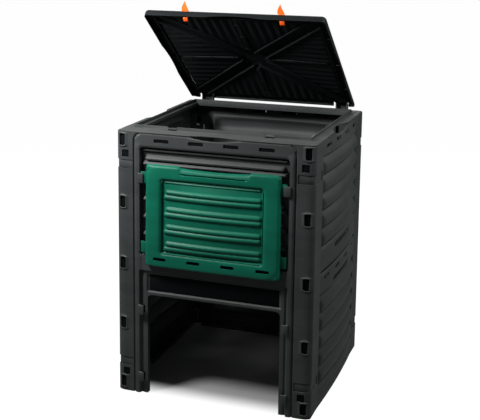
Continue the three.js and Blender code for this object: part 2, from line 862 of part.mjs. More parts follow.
// Bars along the edges of both diagonal bands, under the plate
function lidBands() {
  const innerX = lidHalf - 2 * lidSkin;
  const innerY = lidLength / 2 - 2 * lidSkin;
  const length = Math.hypot(innerX, innerY);
  const angle = Math.atan2(innerY, innerX);
  const reach = length - lidBandWidth;
  const top = -lidTopDrop - lidSkin / 2;
  const barHeight = lidBandRibDepth + lidSkin / 2;
  const offLine = (lidBandWidth - lidBandRibThickness) / 2;
  const bars = [];
  for (const side of [-1, 1]) {
    for (const edge of [-1, 1]) {
      const geometry = new THREE.BoxGeometry(2 * reach, lidBandRibThickness, barHeight);
      geometry.translate(0, edge * offLine, top - barHeight / 2);
      geometry.rotateZ(side * angle);
      geometry.translate(0, -lidLength / 2, 0);
      bars.push(solid(geometry));
    }
  }
  return bars;
}

function lid() {
  const front = -lidLength;
  const bottom = -lidSkirtDrop;
  const top = -lidTopDrop - lidSkin / 2;
  const pieces = [
    lidPlate(),
    box(-lidHalf, lidHalf, front, front + lidSkin, bottom, top),
    box(-lidHalf, lidHalf, -lidSkin, 0, bottom, top),
    box(-lidHalf, lidSkin - lidHalf, front, 0, bottom, top),
    box(lidHalf - lidSkin, lidHalf, front, 0, bottom, top),
  ];
  const cutters = [];
  const bracketHalf = knuckleWidth / 2 + hingeSideGap + hingeEarThickness + bracketMargin;
  const notchHalf = bracketHalf + lidNotchGap;
  const knuckles = [];
  const bores = [];
  for (const side of [-1, 1]) {
    const x = side * hingeCentre;
    cutters.push(box(x - notchHalf, x + notchHalf, -lidNotchDepth, overrun, bottom - overrun, overrun));
    const x0 = x - knuckleWidth / 2;
    const x1 = x + knuckleWidth / 2;
    knuckles.push(barX(knuckleRadius, x0, x1, 0, 0));
    knuckles.push(box(x0, x1, -lidNotchDepth - knuckleRadius, 0, -lidTopDrop - lidSkin, -skin / 2));
    bores.push(barX(hingePinRadius + clearance, x0 - overrun, x1 + overrun, 0, 0));
    const earStart = latchWidth / 2 + clearance;
    const latchX = side * latchCentre;
    for (const end of [-1, 1]) {
      const a = latchX + end * earStart;
      const b = latchX + end * (earStart + latchEarThickness);
      const earBottom = -latchPinDrop - latchEarHalf;
      pieces.push(box(a, b, -latchPinY - latchEarHalf, -latchPinY + latchEarHalf, earBottom, top));
    }
    const boreHalf = earStart + latchEarThickness + overrun;
    const boreRadius = latchPinRadius + clearance;
    bores.push(barX(boreRadius, latchX - boreHalf, latchX + boreHalf, -latchPinY, -latchPinDrop));
    const slotHalf = earStart;
    const lean = (latchPinDrop - lidTopDrop) * Math.tan(THREE.MathUtils.degToRad(latchSwing));
    const slotFront = -latchPinY - lean - latchTabThickness;
    cutters.push(box(
      latchX - slotHalf, latchX + slotHalf, slotFront, -latchPinY + latchTabThickness,
      -lidTopDrop - 2 * lidSkin, lidCrown,
    ));
  }
  const dip = dipPoints(lidGripHalf, lidGripDepth).map(([u, drop]) => [u, bottom - drop]);
  dip.push([lidGripHalf, bottom - overrun], [-lidGripHalf, bottom - overrun]);
  cutters.push(frontPrism(dip, front - overrun, front + lidSkin + overrun));
  const sideDip = dip.map(([u, z]) => [u + front / 2, z]);
  cutters.push(sidePrism(sideDip, -lidHalf - overrun, lidHalf + overrun));
  const rearCut = [
    [-lidRearCut, bottom - clearance], [overrun, bottom - clearance],
    [overrun, -lidRearDrop], [-lidSkin, -lidRearDrop],
  ];
  cutters.push(sidePrism(rearCut, -lidHalf - overrun, lidHalf + overrun));
  const shell = cut(joined([...pieces, ...lidBands()]), cutters);
  return cut(joined([shell, ...knuckles]), bores);
}

// Hinge bracket about its own middle, with the axis at the origin
function hingeBracket() {
  const earInner = knuckleWidth / 2 + hingeSideGap;
  const earOuter = earInner + hingeEarThickness;
  const half = earOuter + bracketMargin;
  const bottom = collarTop + clearance - hingeZ;
  const rear = bracketDepth / 2;
  const pieces = [
    box(-half, half, -rear, rear, bottom, bottom + bracketBase),
    box(-earOuter, earOuter, rear - bracketBase, rear, bottom, 0),
  ];
  for (const side of [-1, 1]) {
    const a = side * earInner;
    const b = side * earOuter;
    pieces.push(box(a, b, 0, rear - bracketBase / 2, bottom, -knuckleRadius));
    pieces.push(box(a, b, -knuckleRadius, knuckleRadius, bottom, 0));
    pieces.push(barX(knuckleRadius, Math.min(a, b), Math.max(a, b), 0, 0));
    const x = (a + b) / 2;
    const pegBottom = bottom - railThickness - 2 * clearance;
    const pegTop = bottom + skin / 2;
    pieces.push(box(x - pegWidth / 2, x + pegWidth / 2, -pegDepth / 2, pegDepth / 2, pegBottom, pegTop));
  }
  return cut(joined(pieces), [barX(hingePinRadius + clearance, -half - overrun, half + overrun, 0, 0)]);
}

function pin(radius, length) {
  return barX(radius, -length / 2, length / 2, 0, 0);
}

// Latch about its pin, in its locked pose: the hook hangs straight down and the tab leans forward
function latch() {
  const half = latchWidth / 2;
  const floor = hingeAxisHeight - latchPinDrop - clearance;
  const noseTop = -floor - latchNoseGap;
  const noseBottom = noseTop - latchNoseHeight;
  const armHalf = latchArmThickness / 2;
  const hook = [
    [-armHalf, 0], [-armHalf, noseBottom], [latchNoseReach - latchNoseHeight, noseBottom],
    [latchNoseReach, noseTop], [armHalf, noseTop], [armHalf, 0],
  ];
  const tabFoot = latchPinDrop - lidTopDrop;
  const tipX = latchTabWidth * (latchTipShare - 1 / 2);
  const tipSpread = latchTabWidth * latchTipSpread;
  const rise = (share) => tabFoot + latchTabHeight * share;
  const tabShape = new THREE.Shape();
  tabShape.moveTo(-half, 0);
  tabShape.lineTo(half, 0);
  tabShape.lineTo(half, tabFoot);
  const [waist, back, neck, belly, hip] = latchRiseShares.map(rise);
  tabShape.bezierCurveTo(half, waist, tipX + tipSpread, back, tipX, rise(1));
  tabShape.bezierCurveTo(tipX - tipSpread, neck, -half, belly, -half, hip);
  const tab = new THREE.ExtrudeGeometry(tabShape, {
    depth: latchTabThickness, bevelEnabled: false, curveSegments: dipSteps,
  });
  tab.translate(0, 0, -latchTabThickness / 2);
  tab.rotateX(Math.PI / 2);
  tab.rotateX(THREE.MathUtils.degToRad(latchSwing));
  const body = joined([barX(latchHubRadius, -half, half, 0, 0), sidePrism(hook, -half, half), solid(tab)]);
  return cut(body, [barX(latchPinRadius + clearance, -half - overrun, half + overrun, 0, 0)]);
}

// How far the door's border stands out at a level: it leans back from its foot to its top
function doorFace(level) {
  return doorFootFace + ((doorTopFace - doorFootFace) * level) / doorHeight;
}

// Hatch door in the front wall's frame, its foot at z = 0
function doorRelief(across, level) {
  const fieldHalf = doorHalf - doorSideBorder;
  const top = doorHeight - doorTopBorder;
  const face = doorFace(level);
  if (Math.abs(across) >= fieldHalf || level <= doorFootBorder || level >= top) return face;
  const share = across / fieldHalf;
  const rise = Math.min(1, (level - doorFootBorder) / doorBulgeRise, (top - level) / doorBulgeRise);
  const outermost = doorBeads.first + doorBeads.half;
  const bulge = doorReach - doorBeadHeight - doorFace(outermost) + doorFieldRecess;
  const toEnd = fieldHalf - doorFieldEdge - Math.abs(across);
  const ends = Math.min(1, Math.max(0, toEnd / beadTaper));
  const beads = doorBeadHeight * ends * beadShare(doorBeads, level);
  return face - doorFieldRecess + bulge * rise * (1 - share * share) + beads;
}

// Top skirt of the door, which follows the finger scoop, `under` its edge by so much
function doorTopLine(under) {
  const level = doorHeight - under;
  const floor = level - doorScoopDepth;
  const left = doorScoopMiddle - doorScoopHalf;
  const right = doorScoopMiddle + doorScoopHalf;
  return [
    [-doorHalf, level], [left, level], [left + doorScoopSlant, floor],
    [right - doorScoopSlant, floor], [right, level], [doorHalf, level],
  ];
}

function hatchDoor() {
  const fieldHalf = doorHalf - doorSideBorder;
  const inner = fieldHalf - doorFieldEdge;
  const halves = [doorHalf, fieldHalf, inner, inner - beadTaper, inner / 2];
  const us = sorted([0, ...halves, ...halves.map((half) => -half)]);
  const top = doorHeight - doorTopBorder;
  const vs = sorted([
    0, doorFootBorder, doorFootBorder + doorFieldEdge, ...beadLevels(doorBeads),
    top - doorBulgeRise, top - doorFieldEdge, top, doorHeight,
  ]);
  const plane = halfDepth;
  const lap = doorSkin / 2;
  const sideSkirt = [
    [doorGap, 0], [doorFootFace - lap, 0], [doorTopFace - lap, doorHeight], [doorGap, doorHeight],
  ].map(([out, level]) => [-(plane + out), level]);
  const topSkirt = [...doorTopLine(0), ...doorTopLine(doorSkin).reverse()];
  const footFace = doorFootFace - lap;
  const pieces = [
    sheet(us, vs, doorRelief, doorSkin, wallPlace(plane)),
    frontPrism(topSkirt, -(plane + doorTopFace - lap), -(plane + doorGap)),
    wallBox(plane, -doorHalf, doorHalf, doorGap, footFace, 0, doorSkin),
  ];
  for (const side of [-1, 1]) {
    const edge = side * doorHalf;
    const inEdge = side * (doorHalf - doorSkin);
    pieces.push(sidePrism(sideSkirt, Math.min(edge, inEdge), Math.max(edge, inEdge)));
    for (const level of doorTabLevels) {
      const tip = side * doorTabTip;
      const z1 = level + doorTabHeight;
      pieces.push(wallBox(plane, inEdge, tip, doorGap, doorTabOutward, level, z1));
    }
  }
  const slotPitch = (2 * (doorHalf - doorSlotEndInset)) / (bandSlotCount - 1);
  const z0 = doorSlotLevel - doorSlotHeight / 2;
  const z1 = doorSlotLevel + doorSlotHeight / 2;
  const cutters = spread(bandSlotCount, slotPitch).map((at) => {
    const u0 = at - doorSlotWidth / 2;
    const u1 = at + doorSlotWidth / 2;
    return wallBox(plane, u0, u1, 0, doorFootFace + overrun, z0, z1);
  });
  const above = doorHeight + overrun;
  const scoop = doorTopLine(0).slice(1, -1);
  scoop.push([doorScoopMiddle + doorScoopHalf, above], [doorScoopMiddle - doorScoopHalf, above]);
  cutters.push(frontPrism(scoop, -(plane + doorFootFace + overrun), -plane));
  return cut(joined(pieces), cutters);
}

// Assembly. The origin is under the middle of the whole object at rest, on the ground.
const frontOverhang = doorReach;
const rearOverhang = sideBow + ribHeight - fieldRecess;
const halfTurn = Math.PI;
const quarterTurn = Math.PI / 2;
const { degToRad } = THREE.MathUtils;

const bin = new THREE.Group();
bin.position.y = (frontOverhang - rearOverhang) / 2;

const openLid = new THREE.Group();
openLid.position.set(0, hingeY, hingeZ);
openLid.rotation.x = -degToRad(lidOpenAngle);
bin.add(openLid);

function addPiece(name, body, finish, parent, place = {}) {
  const mesh = new THREE.Mesh(geometryOf(body), new THREE.MeshStandardMaterial(finish));
  mesh.name = name;
  mesh.rotation.set(place.tilt ?? 0, 0, place.turn ?? 0);
  mesh.position.set(place.x ?? 0, place.y ?? 0, place.z ?? 0);
  parent.add(mesh);
}

addPiece('front_wall', frontWall(), blackPlastic, bin);
addPiece('rear_wall', rearWall(), blackPlastic, bin, { turn: halfTurn });
addPiece('right_wall', sideWall(), blackPlastic, bin, { turn: quarterTurn });
addPiece('left_wall', sideWall(), blackPlastic, bin, { turn: -quarterTurn });
addPiece('collar_rail_front', frontRail(), blackPlastic, bin);
addPiece('collar_rail_rear', rearRail(), blackPlastic, bin, { turn: halfTurn });
addPiece('collar_rail_right', sideRail(1), blackPlastic, bin, { turn: quarterTurn });
addPiece('collar_rail_left', sideRail(-1), blackPlastic, bin, { turn: -quarterTurn });
addPiece('hatch_door', hatchDoor(), greenPlastic, bin, { z: doorRaised });
addPiece('lid', lid(), blackPlastic, openLid);

const hingePinLength = knuckleWidth + 2 * (hingeSideGap + hingeEarThickness + bracketMargin);
const latchPinLength = latchWidth + 2 * (clearance + latchEarThickness);

for (const [side, sideName] of [[-1, 'left'], [1, 'right']]) {
  clipLevels.forEach((level, i) => {
    const levelName = ['lower', 'upper'][i];
    const front = `corner_clip_front_${sideName}_${levelName}`;
    const rear = `corner_clip_rear_${sideName}_${levelName}`;
    addPiece(front, cornerClip(side), blackPlastic, bin, { z: level });
    addPiece(rear, cornerClip(-side), blackPlastic, bin, { z: level, turn: halfTurn });
  });
  const hinge = { x: side * hingeCentre, y: hingeY, z: hingeZ };
  addPiece(`hinge_bracket_${sideName}`, hingeBracket(), blackPlastic, bin, hinge);
  addPiece(`hinge_pin_${sideName}`, pin(hingePinRadius, hingePinLength), steel, bin, hinge);
  const latchPlace = { x: side * latchCentre, y: -latchPinY, z: -latchPinDrop };
  addPiece(`latch_pin_${sideName}`, pin(latchPinRadius, latchPinLength), steel, openLid, latchPlace);
  addPiece(`latch_${sideName}`, latch(), orangePlastic, openLid, {
    ...latchPlace,
    tilt: -degToRad(latchSwing),
  });
}

export default bin;
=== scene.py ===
import json
import math

import bmesh
import bpy
from bpy.props import FloatProperty, FloatVectorProperty, PointerProperty
from mathutils import Matrix, Vector

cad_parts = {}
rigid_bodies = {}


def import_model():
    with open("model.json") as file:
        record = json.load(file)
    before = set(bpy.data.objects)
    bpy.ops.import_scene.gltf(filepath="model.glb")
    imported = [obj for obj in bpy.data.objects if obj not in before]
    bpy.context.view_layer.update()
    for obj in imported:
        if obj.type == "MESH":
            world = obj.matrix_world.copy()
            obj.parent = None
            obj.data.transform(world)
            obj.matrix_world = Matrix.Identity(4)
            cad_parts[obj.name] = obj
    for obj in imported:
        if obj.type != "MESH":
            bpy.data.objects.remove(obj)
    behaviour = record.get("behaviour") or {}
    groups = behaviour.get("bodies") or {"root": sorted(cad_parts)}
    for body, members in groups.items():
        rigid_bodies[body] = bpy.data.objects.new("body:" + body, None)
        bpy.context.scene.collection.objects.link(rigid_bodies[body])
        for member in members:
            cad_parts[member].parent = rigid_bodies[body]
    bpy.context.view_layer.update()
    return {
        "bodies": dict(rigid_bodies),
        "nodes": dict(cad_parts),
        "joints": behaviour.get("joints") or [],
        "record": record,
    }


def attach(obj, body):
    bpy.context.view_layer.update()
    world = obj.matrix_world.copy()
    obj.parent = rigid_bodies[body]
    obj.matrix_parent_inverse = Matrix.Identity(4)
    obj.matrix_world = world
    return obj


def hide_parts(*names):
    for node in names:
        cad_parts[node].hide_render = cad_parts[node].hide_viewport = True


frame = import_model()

bl_info = {
    "name": "Compost Bin",
    "version": (1, 0, 0),
    "blender": (4, 5, 0),
    "location": "View3D > Sidebar > Compost Bin",
    "description": "Builds a moulded compost bin with a hinged lid, a sliding hatch and its finishes",
    "category": "Add Mesh",
}

# Sizes are in millimetres until a piece is placed. A wall's own frame has u across it, v up it and
# out away from the bin.
MM = 0.001
HALF = 300.0
WALL_TOP = 800.0
BIN_SHIFT = 3.8
SKIN = 3.0
FIELD_HALF = 214.0
FRONT_FIELD_HALF = 226.0
POST_FLAT = 270.0
POST_ROUND_WIDTH = 30.0
POST_ROUND_DEPTH = 12.0
POST_ARC = 34.4
POST_FLANGE = 26.0
SIDE_WALL_HALF = 287.7
SIDE_EDGE_RADIUS = 3.0
SIDE_FLAT = SIDE_WALL_HALF - SIDE_EDGE_RADIUS
SIDE_ARC = SIDE_EDGE_RADIUS * math.pi / 2
SIDE_FLANGE = 22.0
SOCKET_LEVELS = (30.0, 217.0, 404.0, 591.0, 778.0)
SQUARE_HOLE_LEVELS = (63.0, 737.0)
CLIP_LEVELS = (95.0, 705.0)
CLIP_WINDOW_HALF = 13.3
BOW = 12.0
BOW_EASE = 42.0
FOOT_BOW = 0.45
FOOT_BAND = 57.0
FOOT_FLANGE = (3.0, 24.0)
RIB_FIELDS = ((FOOT_BAND, 346.0), (478.0, 758.0))
RIB_COUNT = 5
RIB_FIELD_DEPTH = 9.0
RIB_CHANNEL = 207.5
SEAM_LEVEL = 411.0
SEAM_ROWS = [SEAM_LEVEL + gap for gap in (-3.0, -1.5, 0.0, 1.5, 3.0)]
CLIP_ROWS = [level + side * CLIP_WINDOW_HALF for level in CLIP_LEVELS for side in (-1, 1)]
VENT_LEVELS = (357.0, 462.0)
VENT_BARS = 12
SLOT_MIDDLES = (-159.0, -53.0, 53.0, 159.0)
POCKET_DEPTH = 2.6
DIP_HALF = 85.0
TOP_DIP = 10.0
TOP_DIP_FROM = 786.0
COARSE_ROWS = 9.0
END_WALL_LINES = (
    253.0, 250.0, 248.5, 247.3, 245.5, 243.7, 242.5, 241.0, 239.0, 236.0, 231.0, 229.0, 227.0, 225.0,
    221.0, 217.0, FIELD_HALF, 211.0, 208.0,
)
PAIR_GAP = 7.6
FRONT_PAIRS = [506.0 + 53.0 * i for i in range(5)]
FRONT_BEAD = 13.6
FRONT_FIELD_DEPTH = 15.0
HATCH_FRAME_DEPTH = 5.6
STRIP_LEVELS = (320.0, 377.0)
STRIP_DEPTH = 6.0
HATCH_HALF = 205.0
HATCH_HEIGHT = 312.0
HATCH_RIM = 16.0
LUG_LEVELS = (38.0, 250.0, 653.0)
LUG_HEIGHT = 30.0
DOOR_HALF = 205.0
DOOR_HEIGHT = 306.0
DOOR_MIDDLE = DOOR_HEIGHT / 2
DOOR_RAISED = 406.0
DOOR_FACE_HALF = 203.4
DOOR_CORNER = 9.0
DOOR_FOOT_FACE = 17.0
DOOR_TOP_FACE = 9.0
DOOR_SCOOP = (8.0, 110.0, 8.0)
DOOR_SCOOP_FROM = 276.0
DOOR_FIELD_HALF = 154.0
DOOR_FIELD_DEPTH = 6.4
DOOR_BULGE = 9.4
DOOR_PAIRS = [65.8 + 51.7 * i for i in range(4)]
DOOR_BEAD = 6.2
DOOR_TAB_LEVELS = (38.0, 248.0)
DOOR_INSETS = (0.0, 0.3, 1.0, 2.0, 3.4, 5.0, 7.0, 10.0)
DOOR_LINES = (157.0, 155.5, 154.0, 152.5, 151.0, 148.0, 146.0, 144.0, 142.0, 140.0, 138.0, 136.0)
SCOOP_LINES = (-100.0, -97.0, -94.0, -91.0, 107.0, 110.0, 113.0, 116.0, 118.0)
DOOR_ROWS = (281.0, 283.0, 284.0, 285.0, 286.0, 287.0, 289.0)
LID_HALF = 278.0
LID_LENGTH = 532.0
LID_OPEN = 37.0
LID_CORNER = 14.0
LID_INSETS = (0.0, 1.0, 3.5, 7.0, LID_CORNER)
SKIRT_STEP = -12.0
SKIRT_FOOT = -24.4
KNUCKLE_CENTRE = 232.0
HINGE = Vector((0.0, 286.0, 828.0))
LATCH_CENTRE = 148.0
LATCH_PIN = (516.0, -11.0)
PICTURE_WIDTH = 480.0
SENSOR_WIDTH = 36.0
FOCAL_LENGTH = 1062.81
PICTURE_SHIFT = (25.28, -89.57)
CAMERA_PLACE = (1.00457, -3.05634, 1.39871)
CAMERA_TURNS = (0.3475, math.pi / 2 - 0.1836, 0.008)


def rise(value, edge, width):
    """0 before an edge and 1 after it, turning over softly across a width about it."""
    share = min(1.0, max(0.0, (value - edge) / width + 0.5))
    return share * share * (3.0 - 2.0 * share)


def between(value, low, high, width):
    """1 between two edges and 0 outside them, the soft turns lying inside."""
    return rise(value, low + width / 2, width) * (1.0 - rise(value, high - width / 2, width))


def bell(value, middle, half):
    """A round bead: 1 at its middle, 0 from half a width away."""
    share = abs(value - middle) / half
    return math.sqrt(1.0 - share * share) if share < 1.0 else 0.0


def rolled(depth, radius):
    """How far a rounded edge lies under its face, at a depth in from the edge."""
    if depth >= radius:
        return 0.0
    return radius - math.sqrt(radius * radius - (radius - max(0.0, depth)) ** 2)


def bead(across, level, reach, middle, half):
    """A round bar across a face with round ends: 1 on its crest, 0 outside it."""
    past = max(0.0, across - reach + half)
    gap = math.hypot(past, level - middle) / half
    return math.sqrt(1.0 - gap * gap) if gap < 1.0 else 0.0


def mirrored(*marks):
    """Marks on both sides of the middle."""
    return [side * mark for side in (-1, 1) for mark in marks]


def side_span(side, near, far):
    """A pair of values on one side of the middle, the lower one first."""
    return sorted((side * near, side * far))


def about(middle, half):
    """The pair of values half a width to each side of a middle."""
    return middle - half, middle + half


class Outline:
    """A rounded rectangle in a sheet's u and v: a hole through it, or a field on it."""

    def __init__(self, u, v, half_u, half_v, radius):
        self.u, self.v, self.half_u, self.half_v = u, v, half_u, half_v
        self.radius = min(radius, half_u, half_v)

    def add_marks(self, us, vs):
        """Adds the lines that a sheet's grid needs at the edges and the corners."""
        for inset in (0.0, 0.3 * self.radius, self.radius):
            us += [self.u + side * (self.half_u - inset) for side in (-1, 1)]
            vs += [self.v + side * (self.half_v - inset) for side in (-1, 1)]

    def corner(self, u, v):
        """A place as seen from the middle of the nearest corner's arc."""
        return Vector((
            abs(u - self.u) - self.half_u + self.radius,
            abs(v - self.v) - self.half_v + self.radius,
        ))

    def distance(self, u, v):
        """How far outside the outline a place lies, or inside where negative."""
        corner = self.corner(u, v)
        outside = math.hypot(max(corner.x, 0.0), max(corner.y, 0.0))
        return outside + min(max(corner), 0.0) - self.radius

    def pulled(self, u, v):
        """A place near the rounded corner moved onto it."""
        corner = self.corner(u, v)
        if min(corner) <= 0.0 or abs(corner.length - self.radius) > 0.26 * self.radius:
            return u, v
        on_arc = corner.normalized() * self.radius
        return (
            self.u + math.copysign(self.half_u - self.radius + on_arc.x, u - self.u),
            self.v + math.copysign(self.half_v - self.radius + on_arc.y, v - self.v),
        )


FRONT_FRAME = Outline(0.0, 298.0, 243.0, 499.0, 20.0)
FRONT_FIELD = Outline(0.0, 597.0, FRONT_FIELD_HALF + 1.0, 163.0, 8.0)
VENT_DISHES = [Outline(0.0, level, 94.0, 15.0, 15.0) for level in VENT_LEVELS]
DOOR_FACE = Outline(0.0, DOOR_MIDDLE, DOOR_FACE_HALF, DOOR_MIDDLE, DOOR_CORNER)
DOOR_FIELD = Outline(0.0, 154.0, DOOR_FIELD_HALF, 110.0, 6.0)


def grid_lines(marks, step):
    """Marks kept apart, with even lines between them no further apart than about a step."""
    kept = []
    for mark in sorted(marks):
        if not kept or mark - kept[-1] > 0.35:
            kept.append(mark)
    lines = [kept[0]]
    for low, high in zip(kept, kept[1:]):
        count = max(1, math.ceil((high - low) / step - 0.2))
        lines += [low + (high - low) * i / count for i in range(1, count + 1)]
    return lines


def moulded_sheet(us, vs, place, holes=()):
    """A sheet on grid lines: place(u, v) puts each crossing, and the holes are left open."""
    bm = bmesh.new()
    columns, rows = len(us) - 1, len(vs) - 1
    bmesh.ops.create_grid(bm, x_segments=columns, y_segments=rows, size=1.0)
    spot = {}
    for vert in bm.verts:
        u = us[round((vert.co.x + 1.0) / 2.0 * columns)]
        v = vs[round((vert.co.y + 1.0) / 2.0 * rows)]
        for hole in holes:
            u, v = hole.pulled(u, v)
        spot[vert] = (u, v)
    inside = []
    for face in bm.faces:
        for hole in holes:
            if all(hole.distance(*spot[vert]) < 0.02 for vert in face.verts):
                inside.append(face)
                break
    for vert in bm.verts:
        vert.co = place(*spot[vert])
    bmesh.ops.delete(bm, geom=inside, context="FACES")
    return bm


def slab(bm, x, y, z, radius=0.0):
    """A box between pairs of values on each axis, its edges rounded over."""
    made = bmesh.ops.create_cube(bm, size=1.0)["verts"]
    spans = [high - low for low, high in (x, y, z)]
    middles = [(high + low) / 2 for low, high in (x, y, z)]
    bmesh.ops.scale(bm, vec=spans, verts=made)
    bmesh.ops.translate(bm, vec=middles, verts=made)
    if radius:
        edges = list({edge for vert in made for edge in vert.link_edges})
        made = bmesh.ops.bevel(
            bm, geom=edges, offset=radius, offset_type="OFFSET", segments=2,
            profile=0.5, affect="EDGES", material=-1, clamp_overlap=True,
        )["verts"]
    return made


def wall_slab(bm, u, out, v, radius=0.6):
    """A rounded box in a wall's own frame."""
    return slab(bm, u, (-HALF - out[1], -HALF - out[0]), v, radius)


def in_place(turn=0.0):
    """From a wall's frame in millimetres to its place in the bin in metres."""
    shift = Matrix.Translation((0.0, BIN_SHIFT, 0.0))
    return Matrix.Scale(MM, 4) @ shift @ Matrix.Rotation(math.radians(turn), 4, "Z")


def in_lid():
    """From the closed lid's frame, its hinge axis the X axis, to its open place in metres."""
    return in_place() @ Matrix.Translation(HINGE) @ Matrix.Rotation(math.radians(-LID_OPEN), 4, "X")


def mesh_object(name, bm, material):
    """A finished mesh as an object in the scene, at its origin."""
    mesh = bpy.data.meshes.new(name)
    bm.to_mesh(mesh)
    bm.free()
    mesh.materials.append(material)
    made = bpy.data.objects.new(name, mesh)
    bpy.context.scene.collection.objects.link(made)
    return made


def piece_object(name, bm, matrix, plastic="Black plastic", body="bin", nodes=()):
    """A finished mesh as a named piece that rides on a body and stands for CAD nodes."""
    bm.transform(matrix)
    piece = mesh_object(name, bm, finish(plastic))
    piece.data.shade_smooth()
    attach(piece, body)
    if nodes:
        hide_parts(*nodes)
    return piece


def carried_on(bm, rim):
    """Carries a sheet's rim on as a new strip, and gives the strip's far places and edges."""
    made = bmesh.ops.extrude_edge_only(bm, edges=rim)["geom"]
    verts = [part for part in made if isinstance(part, bmesh.types.BMVert)]
    edges = [
        part for part in made
        if isinstance(part, bmesh.types.BMEdge) and set(verts).issuperset(part.verts)
    ]
    return verts, edges


def face_out(bm, outward=Vector((0.0, -1.0, 0.0))):
    """Turns all the faces of a sheet to one side, so that they look outward."""
    bmesh.ops.recalc_face_normals(bm, faces=bm.faces)
    if sum(face.normal.dot(outward) * face.calc_area() for face in bm.faces) < 0.0:
        bmesh.ops.reverse_faces(bm, faces=bm.faces)


def thicken(piece, thickness, offset=-1.0):
    """Gives a sheet its thickness, and rounds over its rims."""
    solid = piece.modifiers.new("Wall thickness", "SOLIDIFY")
    solid.thickness = thickness * MM
    solid.offset = offset
    solid.use_even_offset = True
    soften(piece, 0.7)


def soften(piece, width, angle=40.0):
    """Rounds over the sharp edges of a piece."""
    bevel = piece.modifiers.new("Soft edges", "BEVEL")
    bevel.width = width * MM
    bevel.segments = 2
    bevel.limit_method = "ANGLE"
    bevel.angle_limit = math.radians(angle)
    bevel.harden_normals = True


def softened_node(node, width, plastic="Black plastic", body="bin"):
    """A CAD node's own shape with its edges rounded over."""
    bm = bmesh.new()
    bm.from_mesh(frame["nodes"][node].data)
    bmesh.ops.remove_doubles(bm, verts=bm.verts, dist=0.00001)
    bmesh.ops.dissolve_limit(bm, angle_limit=math.radians(1.0), verts=bm.verts, edges=bm.edges)
    piece = piece_object(f"{node}_moulding", bm, Matrix.Identity(4), plastic, body, [node])
    soften(piece, width, angle=25.0)


class Signal:
    """A node socket, so that sums on it read as they are written."""

    def __init__(self, recipe, socket):
        self.recipe = recipe
        self.socket = socket

    def joined(self, operation, first, second):
        """The signal of a sum on two values."""
        return self.recipe.node("ShaderNodeMath", {"operation": operation}, {0: first, 1: second})

    def __add__(self, other):
        return self.joined("ADD", self, other)

    def __sub__(self, other):
        return self.joined("SUBTRACT", self, other)

    def __rsub__(self, other):
        return self.joined("SUBTRACT", other, self)

    def __mul__(self, other):
        return self.joined("MULTIPLY", self, other)

    __radd__ = __add__
    __rmul__ = __mul__


class Recipe:
    """The nodes that make a material, or the world."""

    def __init__(self, owner):
        owner.use_nodes = True
        self.owner = owner
        self.tree = owner.node_tree
        self.output = next(node for node in self.tree.nodes if node.type.startswith("OUTPUT"))
        self.shader = next(node for node in self.tree.nodes if node != self.output)

    def node(self, kind, settings=None, inputs=None, output=0):
        """A node with its settings and inputs, as the signal from one of its outputs."""
        made = self.tree.nodes.new(kind)
        for name, value in (settings or {}).items():
            setattr(made, name, value)
        for key, value in (inputs or {}).items():
            if isinstance(value, Signal):
                self.tree.links.new(value.socket, made.inputs[key])
            else:
                made.inputs[key].default_value = value
        return Signal(self, made.outputs[output])

    def feed(self, name, value):
        """Gives the shader a signal or a constant on one of its inputs."""
        if isinstance(value, Signal):
            self.tree.links.new(value.socket, self.shader.inputs[name])
        else:
            self.shader.inputs[name].default_value = value

    def noise(self, scale, detail, roughness, vector=None):
        """Cloudy noise from 0 to 1, its scale in patches a metre."""
        return self.node("ShaderNodeTexNoise", None, {
            "Vector": vector or self.place(), "Scale": scale, "Detail": detail, "Roughness": roughness,
        })

    def place(self):
        return self.node("ShaderNodeTexCoord", output="Object")

    def stretched(self, x, y, z):
        """Object coordinates stretched along each axis."""
        return self.node("ShaderNodeMapping", None, {"Vector": self.place(), "Scale": (x, y, z)})

    def step(self, value, low, high):
        """0 under a level and 1 over another, softly between."""
        return self.node("ShaderNodeMapRange", {"interpolation_type": "SMOOTHSTEP"}, {
            "Value": value, "From Min": low, "From Max": high,
        })

    def mix(self, share, first, second):
        return self.node(
            "ShaderNodeMix", {"data_type": "RGBA"}, {0: share, 6: first, 7: second}, output=2,
        )

    def seen_share(self, camera, mirrored):
        """A share for what the camera sees, and a lower one for what is mirrored or passed."""
        seen, glossy, passed = (
            self.node("ShaderNodeLightPath", output=f"Is {ray} Ray")
            for ray in ("Camera", "Glossy", "Transmission")
        )
        return seen * camera + (glossy + passed) * mirrored

    def veil(self, share, plain):
        """Shows a plain surface in front of the shader's own, by a share."""
        own = Signal(self, self.shader.outputs[0])
        mixed = self.node("ShaderNodeMixShader", None, {0: share, 1: own, 2: plain})
        self.tree.links.new(mixed.socket, self.output.inputs["Surface"])

    def bump(self, height, distance, strength, normal=None):
        inputs = {"Height": height, "Distance": distance, "Strength": strength}
        if normal:
            inputs["Normal"] = normal
        return self.node("ShaderNodeBump", None, inputs)


def tint(colour, share):
    """A colour made darker or paler by a share, with full alpha."""
    return (*(min(1.0, part * share) for part in colour), 1.0)


